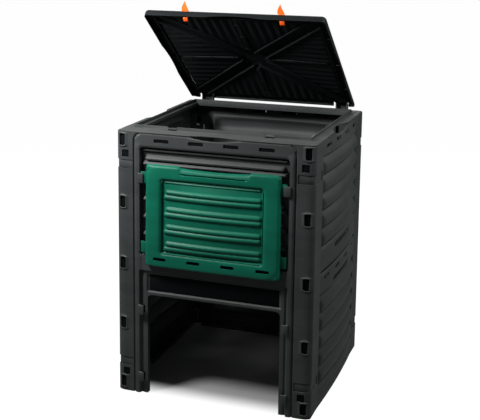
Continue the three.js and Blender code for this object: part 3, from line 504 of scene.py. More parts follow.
def moulded_plastic(name, colour, pale, dust_colour, roughness, dustiness, shine):
    """Moulded plastic with a fine grain, flow marks, paler scuffs and a film of dust."""
    recipe = Recipe(bpy.data.materials.new(name))
    facing = recipe.node("ShaderNodeNewGeometry", output="Normal")
    upward = recipe.node("ShaderNodeSeparateXYZ", None, {0: facing}, output="Z")
    clouds = recipe.noise(7.0, 5.0, 0.6)
    flow = recipe.noise(3.0, 3.0, 0.5, recipe.stretched(1.0, 1.0, 9.0))
    scuffs = recipe.noise(240.0, 3.0, 0.6, recipe.stretched(0.25, 0.25, 1.0))
    specks = recipe.step(recipe.noise(520.0, 3.0, 0.7), 0.56, 0.74)
    film = recipe.step(upward + clouds * 0.9, 0.45, 1.6) * dustiness
    settled = film + specks * (0.25 * dustiness) * recipe.step(clouds, 0.4, 0.65)
    shade = recipe.mix(recipe.step(clouds + flow, 0.7, 1.3), tint(colour, 0.85), tint(colour, 1.15))
    scuffed = recipe.mix(recipe.step(scuffs, 0.6, 0.8) * 0.2, shade, tint(pale, 1.0))
    recipe.feed("Base Color", recipe.mix(settled, scuffed, tint(dust_colour, 1.0)))
    recipe.feed("Roughness", settled * 0.3 + clouds * 0.12 + (roughness - 0.06))
    grain = recipe.bump(recipe.noise(1500.0, 2.0, 0.6), 0.00025, 0.35)
    recipe.feed("Normal", recipe.bump(recipe.noise(95.0, 3.0, 0.5), 0.0008, 0.3, grain))
    recipe.feed("Specular IOR Level", shine)
    return recipe.owner


def pin_steel():
    """Drawn steel with fine marks round it and dull patches."""
    recipe = Recipe(bpy.data.materials.new("Pin steel"))
    marks = recipe.noise(900.0, 2.0, 0.5, recipe.stretched(8.0, 1.0, 1.0))
    patches = recipe.noise(160.0, 4.0, 0.6)
    recipe.feed("Base Color", recipe.mix(patches, (0.36, 0.37, 0.38, 1.0), (0.62, 0.63, 0.64, 1.0)))
    recipe.feed("Metallic", 1.0)
    recipe.feed("Roughness", patches * 0.2 + 0.25)
    recipe.feed("Normal", recipe.bump(marks, 0.0001, 0.4))
    return recipe.owner


# Each plastic: the name of its colour, its scuffs' colour, its dust's colour, its roughness, its
# share of dust and its shine.
PLASTICS = {
    "Black plastic": ("black", (0.05, 0.053, 0.053), (0.12, 0.12, 0.11), 0.5, 0.16, 0.12),
    "Lid plastic": ("lid", (0.014, 0.016, 0.017), (0.034, 0.035, 0.034), 0.5, 0.1, 0.06),
    # Deep recess is painted shade: a near-black plastic for plates and strips set in holes and seams,
    # where the dark is only shade.
    "Deep recess": ("recess", (0.006, 0.007, 0.007), (0.02, 0.02, 0.018), 0.6, 0.04, 0.02),
    "Green plastic": ("green", (0.02, 0.15, 0.095), (0.1, 0.2, 0.15), 0.44, 0.03, 0.11),
    "Orange plastic": ("orange", (0.7, 0.16, 0.03), (0.6, 0.24, 0.09), 0.38, 0.06, 0.2),
}


def floor_finish():
    """A floor seen as white that keeps some shadow, and is left dark inside the bin."""
    recipe = Recipe(bpy.data.materials.new("Pale floor"))
    colour = bpy.context.scene.compost_bin_colours.floor
    clouds = recipe.noise(1.6, 3.0, 0.5)
    recipe.feed("Base Color", recipe.mix(clouds, tint(colour, 0.96), tint(colour, 1.04)))
    recipe.feed("Roughness", 0.9)
    across, ahead = (
        recipe.node("ShaderNodeSeparateXYZ", None, {0: recipe.place()}, output=axis)
        for axis in ("X", "Y")
    )
    between_sides = 1.0 - recipe.step(across * across, 0.0885, 0.0895)
    between_ends = recipe.step(ahead, -0.31, -0.2) * (1.0 - recipe.step(ahead, 0.3005, 0.303))
    outside = 1.0 - between_sides * between_ends
    glow = recipe.node("ShaderNodeEmission", None, {"Strength": 1.36})
    recipe.veil(recipe.seen_share(0.72, 0.08) * outside, glow)
    return recipe.owner


def finish(name):
    """The finish of that name, made on first use from the chosen colours."""
    if name in bpy.data.materials:
        return bpy.data.materials[name]
    if name not in PLASTICS:
        return pin_steel()
    colour, *rest = PLASTICS[name]
    return moulded_plastic(name, getattr(bpy.context.scene.compost_bin_colours, colour), *rest)


class BinSizes(bpy.types.PropertyGroup):
    """Sizes that can be changed without a change to the moulded parts' fit."""

    rib_height: FloatProperty(
        name="Rib height", description="How far the wall ribs stand out of their field",
        default=0.0135, min=0.0, max=0.014, unit="LENGTH",
    )
    floor_size: FloatProperty(
        name="Floor size", description="Length of each side of the pale floor",
        default=40.0, min=4.0, unit="LENGTH",
    )
    lid_field_depth: FloatProperty(
        name="Lid field depth", description="How far the lid's four fields are pressed in",
        default=0.003, min=0.0, max=0.004, unit="LENGTH",
    )


def colour_choice(name, description, default):
    """A colour that can be chosen in the panel."""
    return FloatVectorProperty(
        name=name, description=description, default=default, subtype="COLOR", size=3, min=0.0, max=1.0,
    )


class BinColours(bpy.types.PropertyGroup):
    """Colours of the plastics and the floor."""

    black: colour_choice("Black", "Walls and collar", (0.026, 0.0285, 0.0288))
    lid: colour_choice("Lid", "Lid", (0.006, 0.0072, 0.0078))
    # The recess colour is painted shade: near black, for the plates and strips deep in the walls' holes
    # and seams.
    recess: colour_choice("Recess", "Deep pockets of the walls", (0.0028, 0.0034, 0.0038))
    green: colour_choice("Green", "Hatch door", (0.0015, 0.07, 0.041))
    orange: colour_choice("Orange", "Lid latches", (0.55, 0.075, 0.006))
    floor: colour_choice("Floor", "Floor under the bin", (0.2, 0.2, 0.2))


def post_place(u, level, out):
    """A place on an end wall's sheet: flat, then round the corner post and in along its flange."""
    across = abs(u)
    if across <= POST_FLAT:
        return Vector((u, -HALF - out, level))
    turn = min(1.0, (across - POST_FLAT) / POST_ARC) * math.pi / 2
    x = POST_FLAT + POST_ROUND_WIDTH * math.sin(turn)
    y = POST_ROUND_DEPTH * (1.0 - math.cos(turn)) - HALF
    normal = Vector((math.sin(turn) / POST_ROUND_WIDTH, math.cos(turn) / POST_ROUND_DEPTH))
    normal.normalize()
    x += normal.x * out - max(0.0, across - POST_FLAT - POST_ARC)
    return Vector((math.copysign(x, u), y - normal.y * out, level))


def on_post(x):
    """The sheet's u at a distance across from the wall's middle."""
    if x <= POST_FLAT:
        return x
    return POST_FLAT + POST_ARC * math.asin((x - POST_FLAT) / POST_ROUND_WIDTH) / (math.pi / 2)


def paired_holes(near, far, levels, half, radius):
    """Holes at each level on both sides, between two distances across."""
    return [
        Outline(side * (near + far) / 2, level, (far - near) / 2, half, radius)
        for side in (-1, 1) for level in levels
    ]


def post_holes():
    """Sockets and square holes of both corner posts, the sockets first."""
    sockets = paired_holes(on_post(272.0), on_post(290.0), SOCKET_LEVELS, 17.0, 4.0)
    squares = paired_holes(on_post(261.0), on_post(283.0), SQUARE_HOLE_LEVELS, 11.0, 2.0)
    return sockets, squares


def socket_rim(sockets, u, v):
    """The raised rim round each socket."""
    for hole in sockets:
        gap = hole.distance(u, v)
        if gap < 7.0:
            return 2.8 * between(gap, -1.0, 5.0, 1.6)
    return 0.0


def top_dip(u, v):
    """A level near the top of a wall, lowered where its top edge dips."""
    share = abs(u) / DIP_HALF
    if share >= 1.0 or v <= TOP_DIP_FROM:
        return v
    return v - TOP_DIP * (1.0 - share * share) * (v - TOP_DIP_FROM) / (WALL_TOP - TOP_DIP_FROM)


def ribs_out(across, v, low, high):
    """Full ribs with sharp valleys and round ends."""
    if not low < v < high:
        return 0.0
    height = bpy.context.scene.compost_bin_sizes.rib_height / MM
    share = abs(math.sin(math.pi * RIB_COUNT * (v - low) / (high - low))) ** 0.7
    reach = FIELD_HALF - 10.0 - 9.0 * (1.0 - share) ** 1.5
    past = (across - reach + 12.0) / 12.0
    if past >= 1.0:
        return 0.0
    return height * share * (math.sqrt(1.0 - past * past) if past > 0.0 else 1.0)


def bow(u):
    """How far a bowed wall stands out of the flat at its middle levels."""
    share = min(1.0, abs(u) / FIELD_HALF)
    return BOW * (1.0 - share * share)


def ribbed_relief(u, v):
    """Outside of a side or rear wall: bowed, with two fields of ribs and a band between them."""
    across = abs(u)
    out = bow(u) * min(1.0, (WALL_TOP - v) / BOW_EASE)
    out *= FOOT_BOW + (1.0 - FOOT_BOW) * min(1.0, v / FOOT_BAND)
    if across >= FIELD_HALF:
        return out
    for low, high in RIB_FIELDS:
        inside = between(v, low, high, 7.0)
        if inside:
            out -= RIB_FIELD_DEPTH * inside * (1.0 - rise(across, FIELD_HALF - 1.5, 3.0))
            out += ribs_out(across, v, low + 9.0, high - 9.0)
            out -= 3.0 * inside * bell(across, RIB_CHANNEL, 5.5)
    seam = 5.0 * bell(v, SEAM_LEVEL, 4.0)
    foot_line = 2.2 * bell(v, 27.0, 2.6)
    out -= (seam + foot_line) * (1.0 - rise(across, FIELD_HALF - 4.0, 8.0))
    return out - 1.8 * sum(1.0 - rise(dish.distance(u, v), 0.0, 5.0) for dish in VENT_DISHES)


def front_relief(u, v):
    """Outside of the front wall: posts, a rolled frame, pairs of beads and the hatch's frame."""
    across = abs(u)
    outside = FRONT_FRAME.distance(u, v)
    out = -3.6 * between(outside, -0.4, 5.4, 2.4)
    if outside < 0.0 and v < WALL_TOP - 0.01:
        out -= 0.8 * rolled(-outside, 6.0) if across > FRONT_FIELD_HALF else 0.0
        out += 2.2 * bell(across, 233.0, 11.0) * (1.0 - rise(v, 766.0, 20.0))
    if v > 425.0:
        gap = FRONT_FIELD.distance(u, v)
        out -= FRONT_FIELD_DEPTH * (1.0 - rise(gap, -2.0, 4.0))
        out -= 0.7 * rolled(gap, 5.0) if gap > 0.0 else 0.0
        for middle in FRONT_PAIRS:
            out += FRONT_BEAD * bead(across, v, 219.0, middle - PAIR_GAP, 7.4)
            out += FRONT_BEAD * bead(across, v, 212.0, middle + PAIR_GAP, 7.4)
        out += 8.0 * bead(across, v, 219.0, 750.0, 4.0)
    if v < 392.0:
        frame = HATCH_FRAME_DEPTH * (1.0 - rise(across, FRONT_FIELD_HALF, 3.0))
        groove = 3.4 * bell(across, 223.5, 4.2)
        out -= (frame + groove) * (1.0 - rise(v, 386.5, 3.0))
        out -= STRIP_DEPTH * between(v, *STRIP_LEVELS, 3.0) * (1.0 - rise(across, HATCH_HALF, 4.0))
    return out


def end_wall_bmesh(relief, holes, step, fine_from=0.0):
    """Front or rear wall as one sheet from flange to flange, with wider rows under a level."""
    sockets, squares = post_holes()
    holes = [*holes, *sockets, *squares]
    reach = POST_FLAT + POST_ARC
    edge = reach + POST_FLANGE
    us = [0.0, *mirrored(edge, reach, reach - 6.0, POST_FLAT, *END_WALL_LINES)]
    vs = [fine_from, 0.0, WALL_TOP, RIB_FIELDS[1][1], TOP_DIP_FROM, *SEAM_ROWS, *CLIP_ROWS]
    for hole in holes:
        hole.add_marks(us, vs)
    for hole in sockets:
        vs += [hole.v + side * (hole.half_v + gap) for side in (-1, 1) for gap in (2.0, 4.2, 6.0)]
    rows = grid_lines([v for v in vs if 0.0 <= v <= fine_from], COARSE_ROWS)[:-1]
    rows += grid_lines([v for v in vs if fine_from <= v <= WALL_TOP], step[1])

    def place(u, v):
        out = relief(u, v) + (socket_rim(sockets, u, v) if abs(u) > 258.0 else 0.0)
        return post_place(u, top_dip(u, v), out if abs(u) < reach else 0.0)

    windows = paired_holes(250.0, edge + 5.0, CLIP_LEVELS, CLIP_WINDOW_HALF, 0.0)
    return moulded_sheet(grid_lines(us, step[0]), rows, place, [*holes, *windows])


def shade_backs(holes, place, depth=POCKET_DEPTH):
    """Thin plates inside a sheet's holes, which close them a little way in and carry the holes' painted
    shade.
    """
    bm = bmesh.new()
    for hole in holes:
        made = bmesh.ops.create_grid(bm, x_segments=5, y_segments=2, size=1.0)["verts"]
        for vert in made:
            u = hole.u + vert.co.x * (hole.half_u + 1.2)
            v = hole.v + vert.co.y * (hole.half_v + 1.2)
            vert.co = place(u, v, -depth)
    return bm


def shade_strips(bm, place):
    """Thin strips that lie deep in a ribbed wall's seam and beside its ribs' ends, where they paint the
    shade of the seam and of the channel by the ribs.
    """
    made = bmesh.ops.create_grid(bm, x_segments=44, y_segments=1, size=1.0)["verts"]
    for vert in made:
        u = 211.0 * vert.co.x
        vert.co = place(u, SEAM_LEVEL + 2.8 * vert.co.y, ribbed_relief(u, SEAM_LEVEL) + 1.3)
    for low, high in RIB_FIELDS:
        for side in (-1, 1):
            made = bmesh.ops.create_grid(bm, x_segments=1, y_segments=30, size=1.0)["verts"]
            for vert in made:
                v = (low + high + (high - low - 8.0) * vert.co.y) / 2
                vert.co = place(side * (208.2 + 3.6 * vert.co.x), v, -RIB_FIELD_DEPTH - 0.9)


def band_slots():
    """The slots of the band at a wall's top."""
    return [Outline(u, 780.0, 23.0, 5.5, 3.0) for u in SLOT_MIDDLES]


def ribbed_holes():
    """The slots and long vents of a side or rear wall."""
    slots = [Outline(u, 390.0, 23.0, 6.5, 3.5) for u in SLOT_MIDDLES]
    vents = [Outline(0.0, level, 88.0, 9.0, 9.0) for level in VENT_LEVELS]
    return [*band_slots(), *slots, *vents]


def post_painted_shade():
    """Backs for the holes of an end wall's posts and band, which carry the painted shade in the holes.
    """
    sockets, squares = post_holes()
    return shade_backs([*sockets, *squares, *band_slots()], post_place)


def foot_flange(bm, reach, lengths=12):
    """The flange inside a bowed wall's foot, in short lengths that follow the bow."""
    low, high = FOOT_FLANGE
    for i in range(lengths):
        ends = [reach * (2.0 * (i + end) / lengths - 1.0) for end in (0, 1)]
        bows = [FOOT_BOW * bow(u) for u in ends]
        slab(bm, ends, (-HALF - min(bows) + 0.4, -HALF + high), (0.0, low))


def vent_grille(bm, half=84.0):
    """Fine bars behind the long vents."""
    for level in VENT_LEVELS:
        for i in range(VENT_BARS):
            u = half * (2.0 * (i + 0.5) / VENT_BARS - 1.0)
            wall_slab(bm, about(u, 1.0), (bow(u) - 6.5, bow(u) - 3.0), about(level, 10.0), 0.4)


class BIN_OT_front_wall(bpy.types.Operator):
    """Build the front wall with its posts, hatch frame and guide lugs"""

    bl_idname = "compost_bin.front_wall"
    bl_label = "Front wall"

    def execute(self, context):
        under = 80.0
        hatch = Outline(0.0, (HATCH_HEIGHT - under) / 2, HATCH_HALF, (HATCH_HEIGHT + under) / 2, 14.0)
        middles = [level + LUG_HEIGHT / 2 for level in LUG_LEVELS]
        windows = paired_holes(213.0, 223.0, middles, 12.0, 1.5)
        bm = end_wall_bmesh(
            front_relief, [hatch, *windows, *band_slots()], (11.0, 3.7), HATCH_HEIGHT - 20.0,
        )
        rim = [
            edge for edge in bm.edges if edge.is_boundary and all(
                abs(vert.co.x) <= HATCH_HALF + 0.1 and vert.co.z <= HATCH_HEIGHT + 0.1
                for vert in edge.verts
            ) and any(vert.co.z > 0.1 for vert in edge.verts)
        ]
        inner, _ = carried_on(bm, rim)
        bmesh.ops.translate(bm, vec=(0.0, HATCH_RIM, 0.0), verts=inner)
        face_out(bm)
        thicken(piece_object("front_wall_moulding", bm, in_place(), nodes=["front_wall"]), SKIN)
        bm = bmesh.new()
        for side in (-1, 1):
            for middle in middles:
                foot = about(middle, LUG_HEIGHT / 2 - 0.2)
                wall_slab(bm, side_span(side, 223.4, 231.2), (-7.0, 7.0), foot, 1.2)
                hook = about(middle, LUG_HEIGHT / 2)
                wall_slab(bm, side_span(side, 213.0, 231.3), (4.2, 7.7), hook, 1.6)
            foot, inward = FOOT_FLANGE
            wall_slab(bm, side_span(side, 208.0, 250.0), (-inward, -7.5), (0.0, foot))
        piece_object("guide_lugs", bm, in_place())
        # Painted shade: near-black plates behind the posts' holes, the band's slots and the lug
        # windows, and a strip plate deep in the recess under the hatch.
        piece_object("front_wall_pockets", post_painted_shade(), in_place(), "Deep recess")
        bm = shade_backs(windows, post_place, 12.0)
        wall_slab(bm, (-200.0, 200.0), (-12.4, -11.2), about(sum(STRIP_LEVELS) / 2, 25.5), 0.5)
        piece_object("front_wall_insets", bm, in_place(), "Deep recess")
        return {"FINISHED"}


class BIN_OT_rear_wall(bpy.types.Operator):
    """Build the ribbed rear wall with its posts"""

    bl_idname = "compost_bin.rear_wall"
    bl_label = "Rear wall"

    def execute(self, context):
        bm = end_wall_bmesh(ribbed_relief, ribbed_holes(), (9.0, 4.8))
        face_out(bm)
        place = in_place(180.0)
        thicken(piece_object("rear_wall_moulding", bm, place, nodes=["rear_wall"]), SKIN)
        bm = bmesh.new()
        foot_flange(bm, 250.0)
        vent_grille(bm)
        piece_object("rear_wall_bars", bm, place)
        # Painted shade: near-black plates in the holes, and strips in the seam and beside the ribs'
        # ends.
        bm = post_painted_shade()
        shade_strips(bm, post_place)
        piece_object("rear_wall_pockets", bm, place, "Deep recess")
        return {"FINISHED"}


def side_place(u, level, out):
    """A place on a side wall's sheet: flat, then round its edge and in along its flange."""
    across = abs(u)
    if across <= SIDE_FLAT:
        return Vector((u, -HALF - out, level))
    turn = min(1.0, (across - SIDE_FLAT) / SIDE_ARC) * math.pi / 2
    x = SIDE_FLAT + SIDE_EDGE_RADIUS * math.sin(turn)
    inward = SIDE_EDGE_RADIUS * (1.0 - math.cos(turn)) + max(0.0, across - SIDE_FLAT - SIDE_ARC)
    return Vector((math.copysign(x, u), inward - HALF, level))


def side_wall_bmesh():
    """A side wall as one sheet from flange to flange."""
    reach = SIDE_FLAT + SIDE_ARC
    cut_in = reach + 7.6 - SIDE_EDGE_RADIUS
    window_from = 224.0
    holes = ribbed_holes()
    us = [0.0, *mirrored(
        reach + SIDE_FLANGE, cut_in, reach, SIDE_FLAT + SIDE_ARC * 0.67, SIDE_FLAT + SIDE_ARC * 0.33,
        SIDE_FLAT, window_from, FIELD_HALF,
    )]
    vs = [0.0, WALL_TOP, RIB_FIELDS[1][1], TOP_DIP_FROM, *SEAM_ROWS, *CLIP_ROWS]
    for hole in holes:
        hole.add_marks(us, vs)

    def place(u, v):
        return side_place(u, top_dip(u, v), ribbed_relief(u, v))

    holes += paired_holes(window_from, cut_in, CLIP_LEVELS, CLIP_WINDOW_HALF, 0.0)
    return moulded_sheet(grid_lines(us, 9.0), grid_lines(vs, 4.2), place, holes)


class BIN_OT_side_walls(bpy.types.Operator):
    """Build both bowed side walls with their tenons"""

    bl_idname = "compost_bin.side_walls"
    bl_label = "Side walls"

    def execute(self, context):
        for name, turn in (("right_wall", 90.0), ("left_wall", -90.0)):
            place = in_place(turn)
            bm = side_wall_bmesh()
            face_out(bm)
            thicken(piece_object(f"{name}_moulding", bm, place, nodes=[name]), SKIN)
            bm = bmesh.new()
            for side in (-1, 1):
                for level in SOCKET_LEVELS:
                    heights = about(level, 16.7)
                    wall_slab(bm, side_span(side, 285.0, 293.0), (-14.3, -10.3), heights, 0.8)
            foot_flange(bm, 286.0)
            vent_grille(bm)
            piece_object(f"{name}_tenons", bm, place)
            # Painted shade: near-black plates in the band's slots, and strips in the seam and beside
            # the ribs' ends.
            bm = shade_backs(band_slots(), side_place)
            shade_strips(bm, side_place)
            piece_object(f"{name}_pockets", bm, place, "Deep recess")
        return {"FINISHED"}


class BIN_OT_collar(bpy.types.Operator):
    """Build the four collar rails, with their edges rounded over"""

    bl_idname = "compost_bin.collar"
    bl_label = "Collar rails"

    def execute(self, context):
        for side in ("front", "rear", "left", "right"):
            softened_node(f"collar_rail_{side}", 0.9)
        return {"FINISHED"}


class BIN_OT_clips(bpy.types.Operator):
    """Build the eight corner clips"""

    bl_idname = "compost_bin.clips"
    bl_label = "Corner clips"

    def execute(self, context):
        for name in frame["nodes"]:
            if name.startswith("corner_clip"):
                softened_node(name, 0.8)
        return {"FINISHED"}


def door_edge(u):
    """The level of the door's top edge, which a finger scoop lowers between two facets."""
    middle, half, depth = DOOR_SCOOP
    share = abs(u - middle) / half
    facet = min(1.0, max(0.0, (1.0 - share) * half / 9.0))
    return DOOR_HEIGHT - depth * (0.5 * facet + 0.5 * max(0.0, 1.0 - share * share))


def door_level(u, v):
    """A level on the door, the rows near the top following the scoop."""
    if v <= DOOR_SCOOP_FROM:
        return v
    share = (v - DOOR_SCOOP_FROM) / (DOOR_HEIGHT - DOOR_SCOOP_FROM)
    return DOOR_SCOOP_FROM + share * (door_edge(u) - DOOR_SCOOP_FROM)


def door_relief(u, v):
    """Outside of the hatch door: a rolled border, and a bulging field with pairs of beads."""
    level = door_level(u, v)
    gap = DOOR_FIELD.distance(u, v)
    out = DOOR_FOOT_FACE + (DOOR_TOP_FACE - DOOR_FOOT_FACE) * level / DOOR_HEIGHT
    out += 3.4 * bell(gap, 23.0, 27.0) - rolled(-DOOR_FACE.distance(u, v), 7.0)
    out -= 0.8 * rolled(gap, 8.0) if gap > 0.0 else 0.0
    if gap < 1.0:
        share = min(1.0, abs(u) / DOOR_FIELD_HALF)
        tall = 0.3 * between(v, 46.0, 262.0, 9.0) + 0.7 * between(v, 46.0, 262.0, 34.0)
        bulge = DOOR_BULGE * (1.0 - share * share) * tall
        out += (bulge - DOOR_FIELD_DEPTH) * (1.0 - rise(gap, -1.4, 2.8))
        for middle in DOOR_PAIRS:
            out += DOOR_BEAD * bead(abs(u - 2.0), v, 150.0, middle - PAIR_GAP, 8.2) ** 1.6
            out += DOOR_BEAD * bead(abs(u - 4.5), v, 147.0, middle + PAIR_GAP, 8.2) ** 1.6
        out += 3.6 * bead(abs(u), v, 147.0, 258.0, 3.0)
    scooped = rise(DOOR_HEIGHT - door_edge(u), 2.0, 3.0)
    slope = min(1.0, max(0.0, (level - 287.0) / (door_edge(u) - 287.0)))
    line = bell(level, 285.0, 2.4) * between(u, -101.0, 108.0, 14.0)
    return out - 3.6 * scooped * slope ** 1.5 - 4.6 * line


class BIN_OT_hatch_door(bpy.types.Operator):
    """Build the sliding hatch door with its tabs"""

    bl_idname = "compost_bin.hatch_door"
    bl_label = "Hatch door"

    def execute(self, context):
        slots = [Outline(u, 25.5, 20.0, 5.0, 3.5) for u in mirrored(157.0, 52.33)]
        us = [*mirrored(*(DOOR_FACE_HALF - inset for inset in DOOR_INSETS), *DOOR_LINES), *SCOOP_LINES]
        vs = [*DOOR_ROWS, *DOOR_INSETS, *(DOOR_HEIGHT - inset for inset in DOOR_INSETS)]
        for hole in slots:
            hole.add_marks(us, vs)
        middle = DOOR_RAISED + DOOR_MIDDLE

        def place(u, v):
            level = door_level(u, v) - DOOR_MIDDLE
            x, z = rounded_corner(u, level, DOOR_FACE_HALF, DOOR_MIDDLE, DOOR_CORNER)
            return Vector((x, -HALF - door_relief(u, v), middle + 0.992 * z))

        bm = moulded_sheet(grid_lines(us, 6.5), grid_lines(vs, 1.7), place, slots)
        rim = [
            edge for edge in bm.edges if edge.is_boundary and not any(
                hole.distance(edge.verts[0].co.x, edge.verts[0].co.z - DOOR_RAISED) < 3.0
                for hole in slots
            )
        ]
        for vert in carried_on(bm, rim)[0]:
            x, _, z = vert.co
            vert.co = (x * DOOR_HALF / DOOR_FACE_HALF, -HALF - 0.6, middle + (z - middle) * 1.008)
        face_out(bm)
        looks = (in_place(), "Green plastic", "door")
        thicken(piece_object("hatch_door_moulding", bm, *looks, ["hatch_door"]), 2.8)
        bm = bmesh.new()
        for side in (-1, 1):
            for level in DOOR_TAB_LEVELS:
                low = DOOR_RAISED + level
                wall_slab(bm, side_span(side, 202.0, 222.0), (0.6, 3.6), (low, low + 34.0), 0.9)
        piece_object("hatch_door_tabs", bm, *looks)
        return {"FINISHED"}


def rounded_corner(x, y, half_x, half_y, radius):
    """A place in a rectangle moved so that the rectangle's corners are round."""
    corner_x = abs(x) - half_x + radius
    corner_y = abs(y) - half_y + radius
    if corner_x <= 0.0 or corner_y <= 0.0:
        return x, y
    share = max(corner_x, corner_y) / math.hypot(corner_x, corner_y)
    return (
        math.copysign(half_x - radius + corner_x * share, x),
        math.copysign(half_y - radius + corner_y * share, y),
    )


def lid_relief(x, forward):
    """The lid's plate: crowned, with diagonal bands, pressed fields and ribs across each field."""
    pressed = bpy.context.scene.compost_bin_sizes.lid_field_depth / MM
    across, ahead = abs(x), abs(forward - LID_LENGTH / 2)
    share_x, share_y = across / LID_HALF, ahead / (LID_LENGTH / 2)
    rim = max(share_x, share_y)
    edge = min(LID_HALF - across, LID_LENGTH / 2 - ahead)
    corner = math.hypot(LID_HALF, LID_LENGTH / 2)
    off_band = abs(across * LID_LENGTH / 2 - ahead * LID_HALF) / corner
    in_field = rise(off_band, 23.0, 5.0) * rise(edge, 30.0, 5.0)
    rib = math.sin(math.pi * (ahead if share_x > share_y else across) / 27.0) ** 2
    up = 9.0 * (1.0 - rim) - 4.0 - rolled(edge, 7.0) - pressed * in_field
    up -= 3.2 * rib * in_field * (0.35 + 0.65 * rise(rim, 0.5, 0.5))
    middle_line = 1.0 - rise(min(across, ahead), 6.5, 4.0)
    return up + 2.4 * middle_line * rise(edge, 28.0, 6.0) * rise(rim, 0.1, 0.06)


def skirt_level(x, ahead):
    """The skirt's lower edge, which dips upward at three sides and rises to the hinges."""
    behind = 24.0 - (ahead + LID_LENGTH / 2)
    if behind > 0.0:
        return SKIRT_FOOT + 10.4 * min(1.0, behind / 21.0)
    sideways = x if abs(ahead) / LID_LENGTH > abs(x) / 2 / LID_HALF else ahead
    return SKIRT_FOOT + 6.0 * max(0.0, 1.0 - (sideways / DIP_HALF) ** 2)


class BIN_OT_lid(bpy.types.Operator):
    """Build the hinged lid with its bands, skirt and knuckles"""

    bl_idname = "compost_bin.lid"
    bl_label = "Lid"

    def execute(self, context):
        slots = [Outline(x, 517.6, 10.8, 5.2, 1.0) for x in mirrored(LATCH_CENTRE)]
        notches = [Outline(x, 0.0, 24.5, 14.0, 0.0) for x in mirrored(KNUCKLE_CENTRE)]
        us = [0.0, *mirrored(*(LID_HALF - inset for inset in LID_INSETS))]
        vs = [LID_LENGTH / 2, *LID_INSETS, *(LID_LENGTH - inset for inset in LID_INSETS)]
        for hole in slots:
            hole.add_marks(us, vs)
        for hole in notches:
            us += [hole.u - hole.half_u, hole.u + hole.half_u]

        def place(x, forward):
            ahead = forward - LID_LENGTH / 2
            corner_x, ahead = rounded_corner(x, ahead, LID_HALF, LID_LENGTH / 2, LID_CORNER)
            return Vector((corner_x, -ahead - LID_LENGTH / 2, lid_relief(x, forward)))

        bm = moulded_sheet(grid_lines(us, 4.6), grid_lines(vs, 4.6), place, [*slots, *notches])
        rim = []
        for edge in bm.edges:
            middle = (edge.verts[0].co + edge.verts[1].co) / 2
            at_slot = any(hole.distance(middle.x, -middle.y) < 1.0 for hole in slots)
            at_notch = 0.5 < -middle.y < 14.5 and any(abs(middle.x - hole.u) < 24.6 for hole in notches)
            if edge.is_boundary and not at_slot and not at_notch:
                rim.append(edge)
        verts, rim = carried_on(bm, rim)
        for vert in verts:
            vert.co.z = SKIRT_STEP
        for vert in carried_on(bm, rim)[0]:
            vert.co.z = skirt_level(vert.co.x, -vert.co.y - LID_LENGTH / 2)
        face_out(bm, Vector((0.0, 0.0, 1.0)))
        thicken(piece_object("lid_moulding", bm, in_lid(), "Lid plastic", "lid", ["lid"]), SKIN)
        piece_object("lid_ribs", lid_ribs(), in_lid(), "Lid plastic", "lid")
        return {"FINISHED"}


def diagonal_bars(bm):
    """Bars under the lid, along both edges of both of its diagonal bands."""
    half_x, half_y = LID_HALF - 6.0, LID_LENGTH / 2 - 6.0
    reach = math.hypot(half_x, half_y) - 46.0
    angle = math.atan2(half_y, half_x)
    middle = Matrix.Translation((0.0, -LID_LENGTH / 2, 0.0))
    for side in (-1, 1):
        for y in mirrored(21.5):
            for end in (-1, 1):
                made = slab(bm, side_span(end, 34.0, reach), about(y, 1.3), (-9.0, 1.0), 0.5)
                sunk = Matrix.Rotation(end * math.atan2(6.0, reach), 4, "Y")
                turn = middle @ Matrix.Rotation(side * angle, 4, "Z") @ sunk
                bmesh.ops.transform(bm, matrix=turn, verts=made)


def middle_bars(bm):
    """Bars with ticks across them under the lid, from its middle to each side."""
    middle = Matrix.Translation((0.0, -LID_LENGTH / 2, 0.0))
    for turn in (0.0, 90.0, 180.0, 270.0):
        spin = middle @ Matrix.Rotation(math.radians(turn), 4, "Z")
        for at, down in ((66.0, -5.4), (138.0, -7.5), (206.0, -9.5)):
            made = slab(bm, about(at, 1.2), (-9.0, 9.0), (down - 3.4, down + 4.0))
            bmesh.ops.transform(bm, matrix=spin, verts=made)
        made = slab(bm, (52.0, 236.0), (-6.5, 6.5), (-6.2, -1.0), 0.8)
        sunk = Matrix.Rotation(math.atan2(6.5, 240.0), 4, "Y")
        bmesh.ops.transform(bm, matrix=spin @ sunk, verts=made)


def lid_ribs():
    """Under the lid: its bars and ticks, the knuckles and the latches' ears."""
    bm = bmesh.new()
    diagonal_bars(bm)
    middle_bars(bm)
    slab(bm, (-250.0, 250.0), (-508.5, -506.0), (-13.0, -5.5), 0.6)
    for side in (-1, 1):
        slab(bm, side_span(side, 252.5, 255.0), (-508.0, -26.0), (-13.0, -5.5), 0.6)
        for y in (-416.0, -266.0, -116.0):
            slab(bm, side_span(side, 262.0, 276.0), about(y, 1.2), (-14.2, -6.0), 0.4)
        knuckle = about(side * KNUCKLE_CENTRE, 15.0)
        barrel(bm, 6.0, *knuckle)
        slab(bm, knuckle, (-20.0, -1.0), (-7.2, -1.8), 0.8)
        for end in (-1, 1):
            ear = [side * LATCH_CENTRE + x for x in side_span(end, 10.8, 13.3)]
            slab(bm, ear, (-521.0, -511.0), (-16.0, -5.0), 0.7)
    return bm


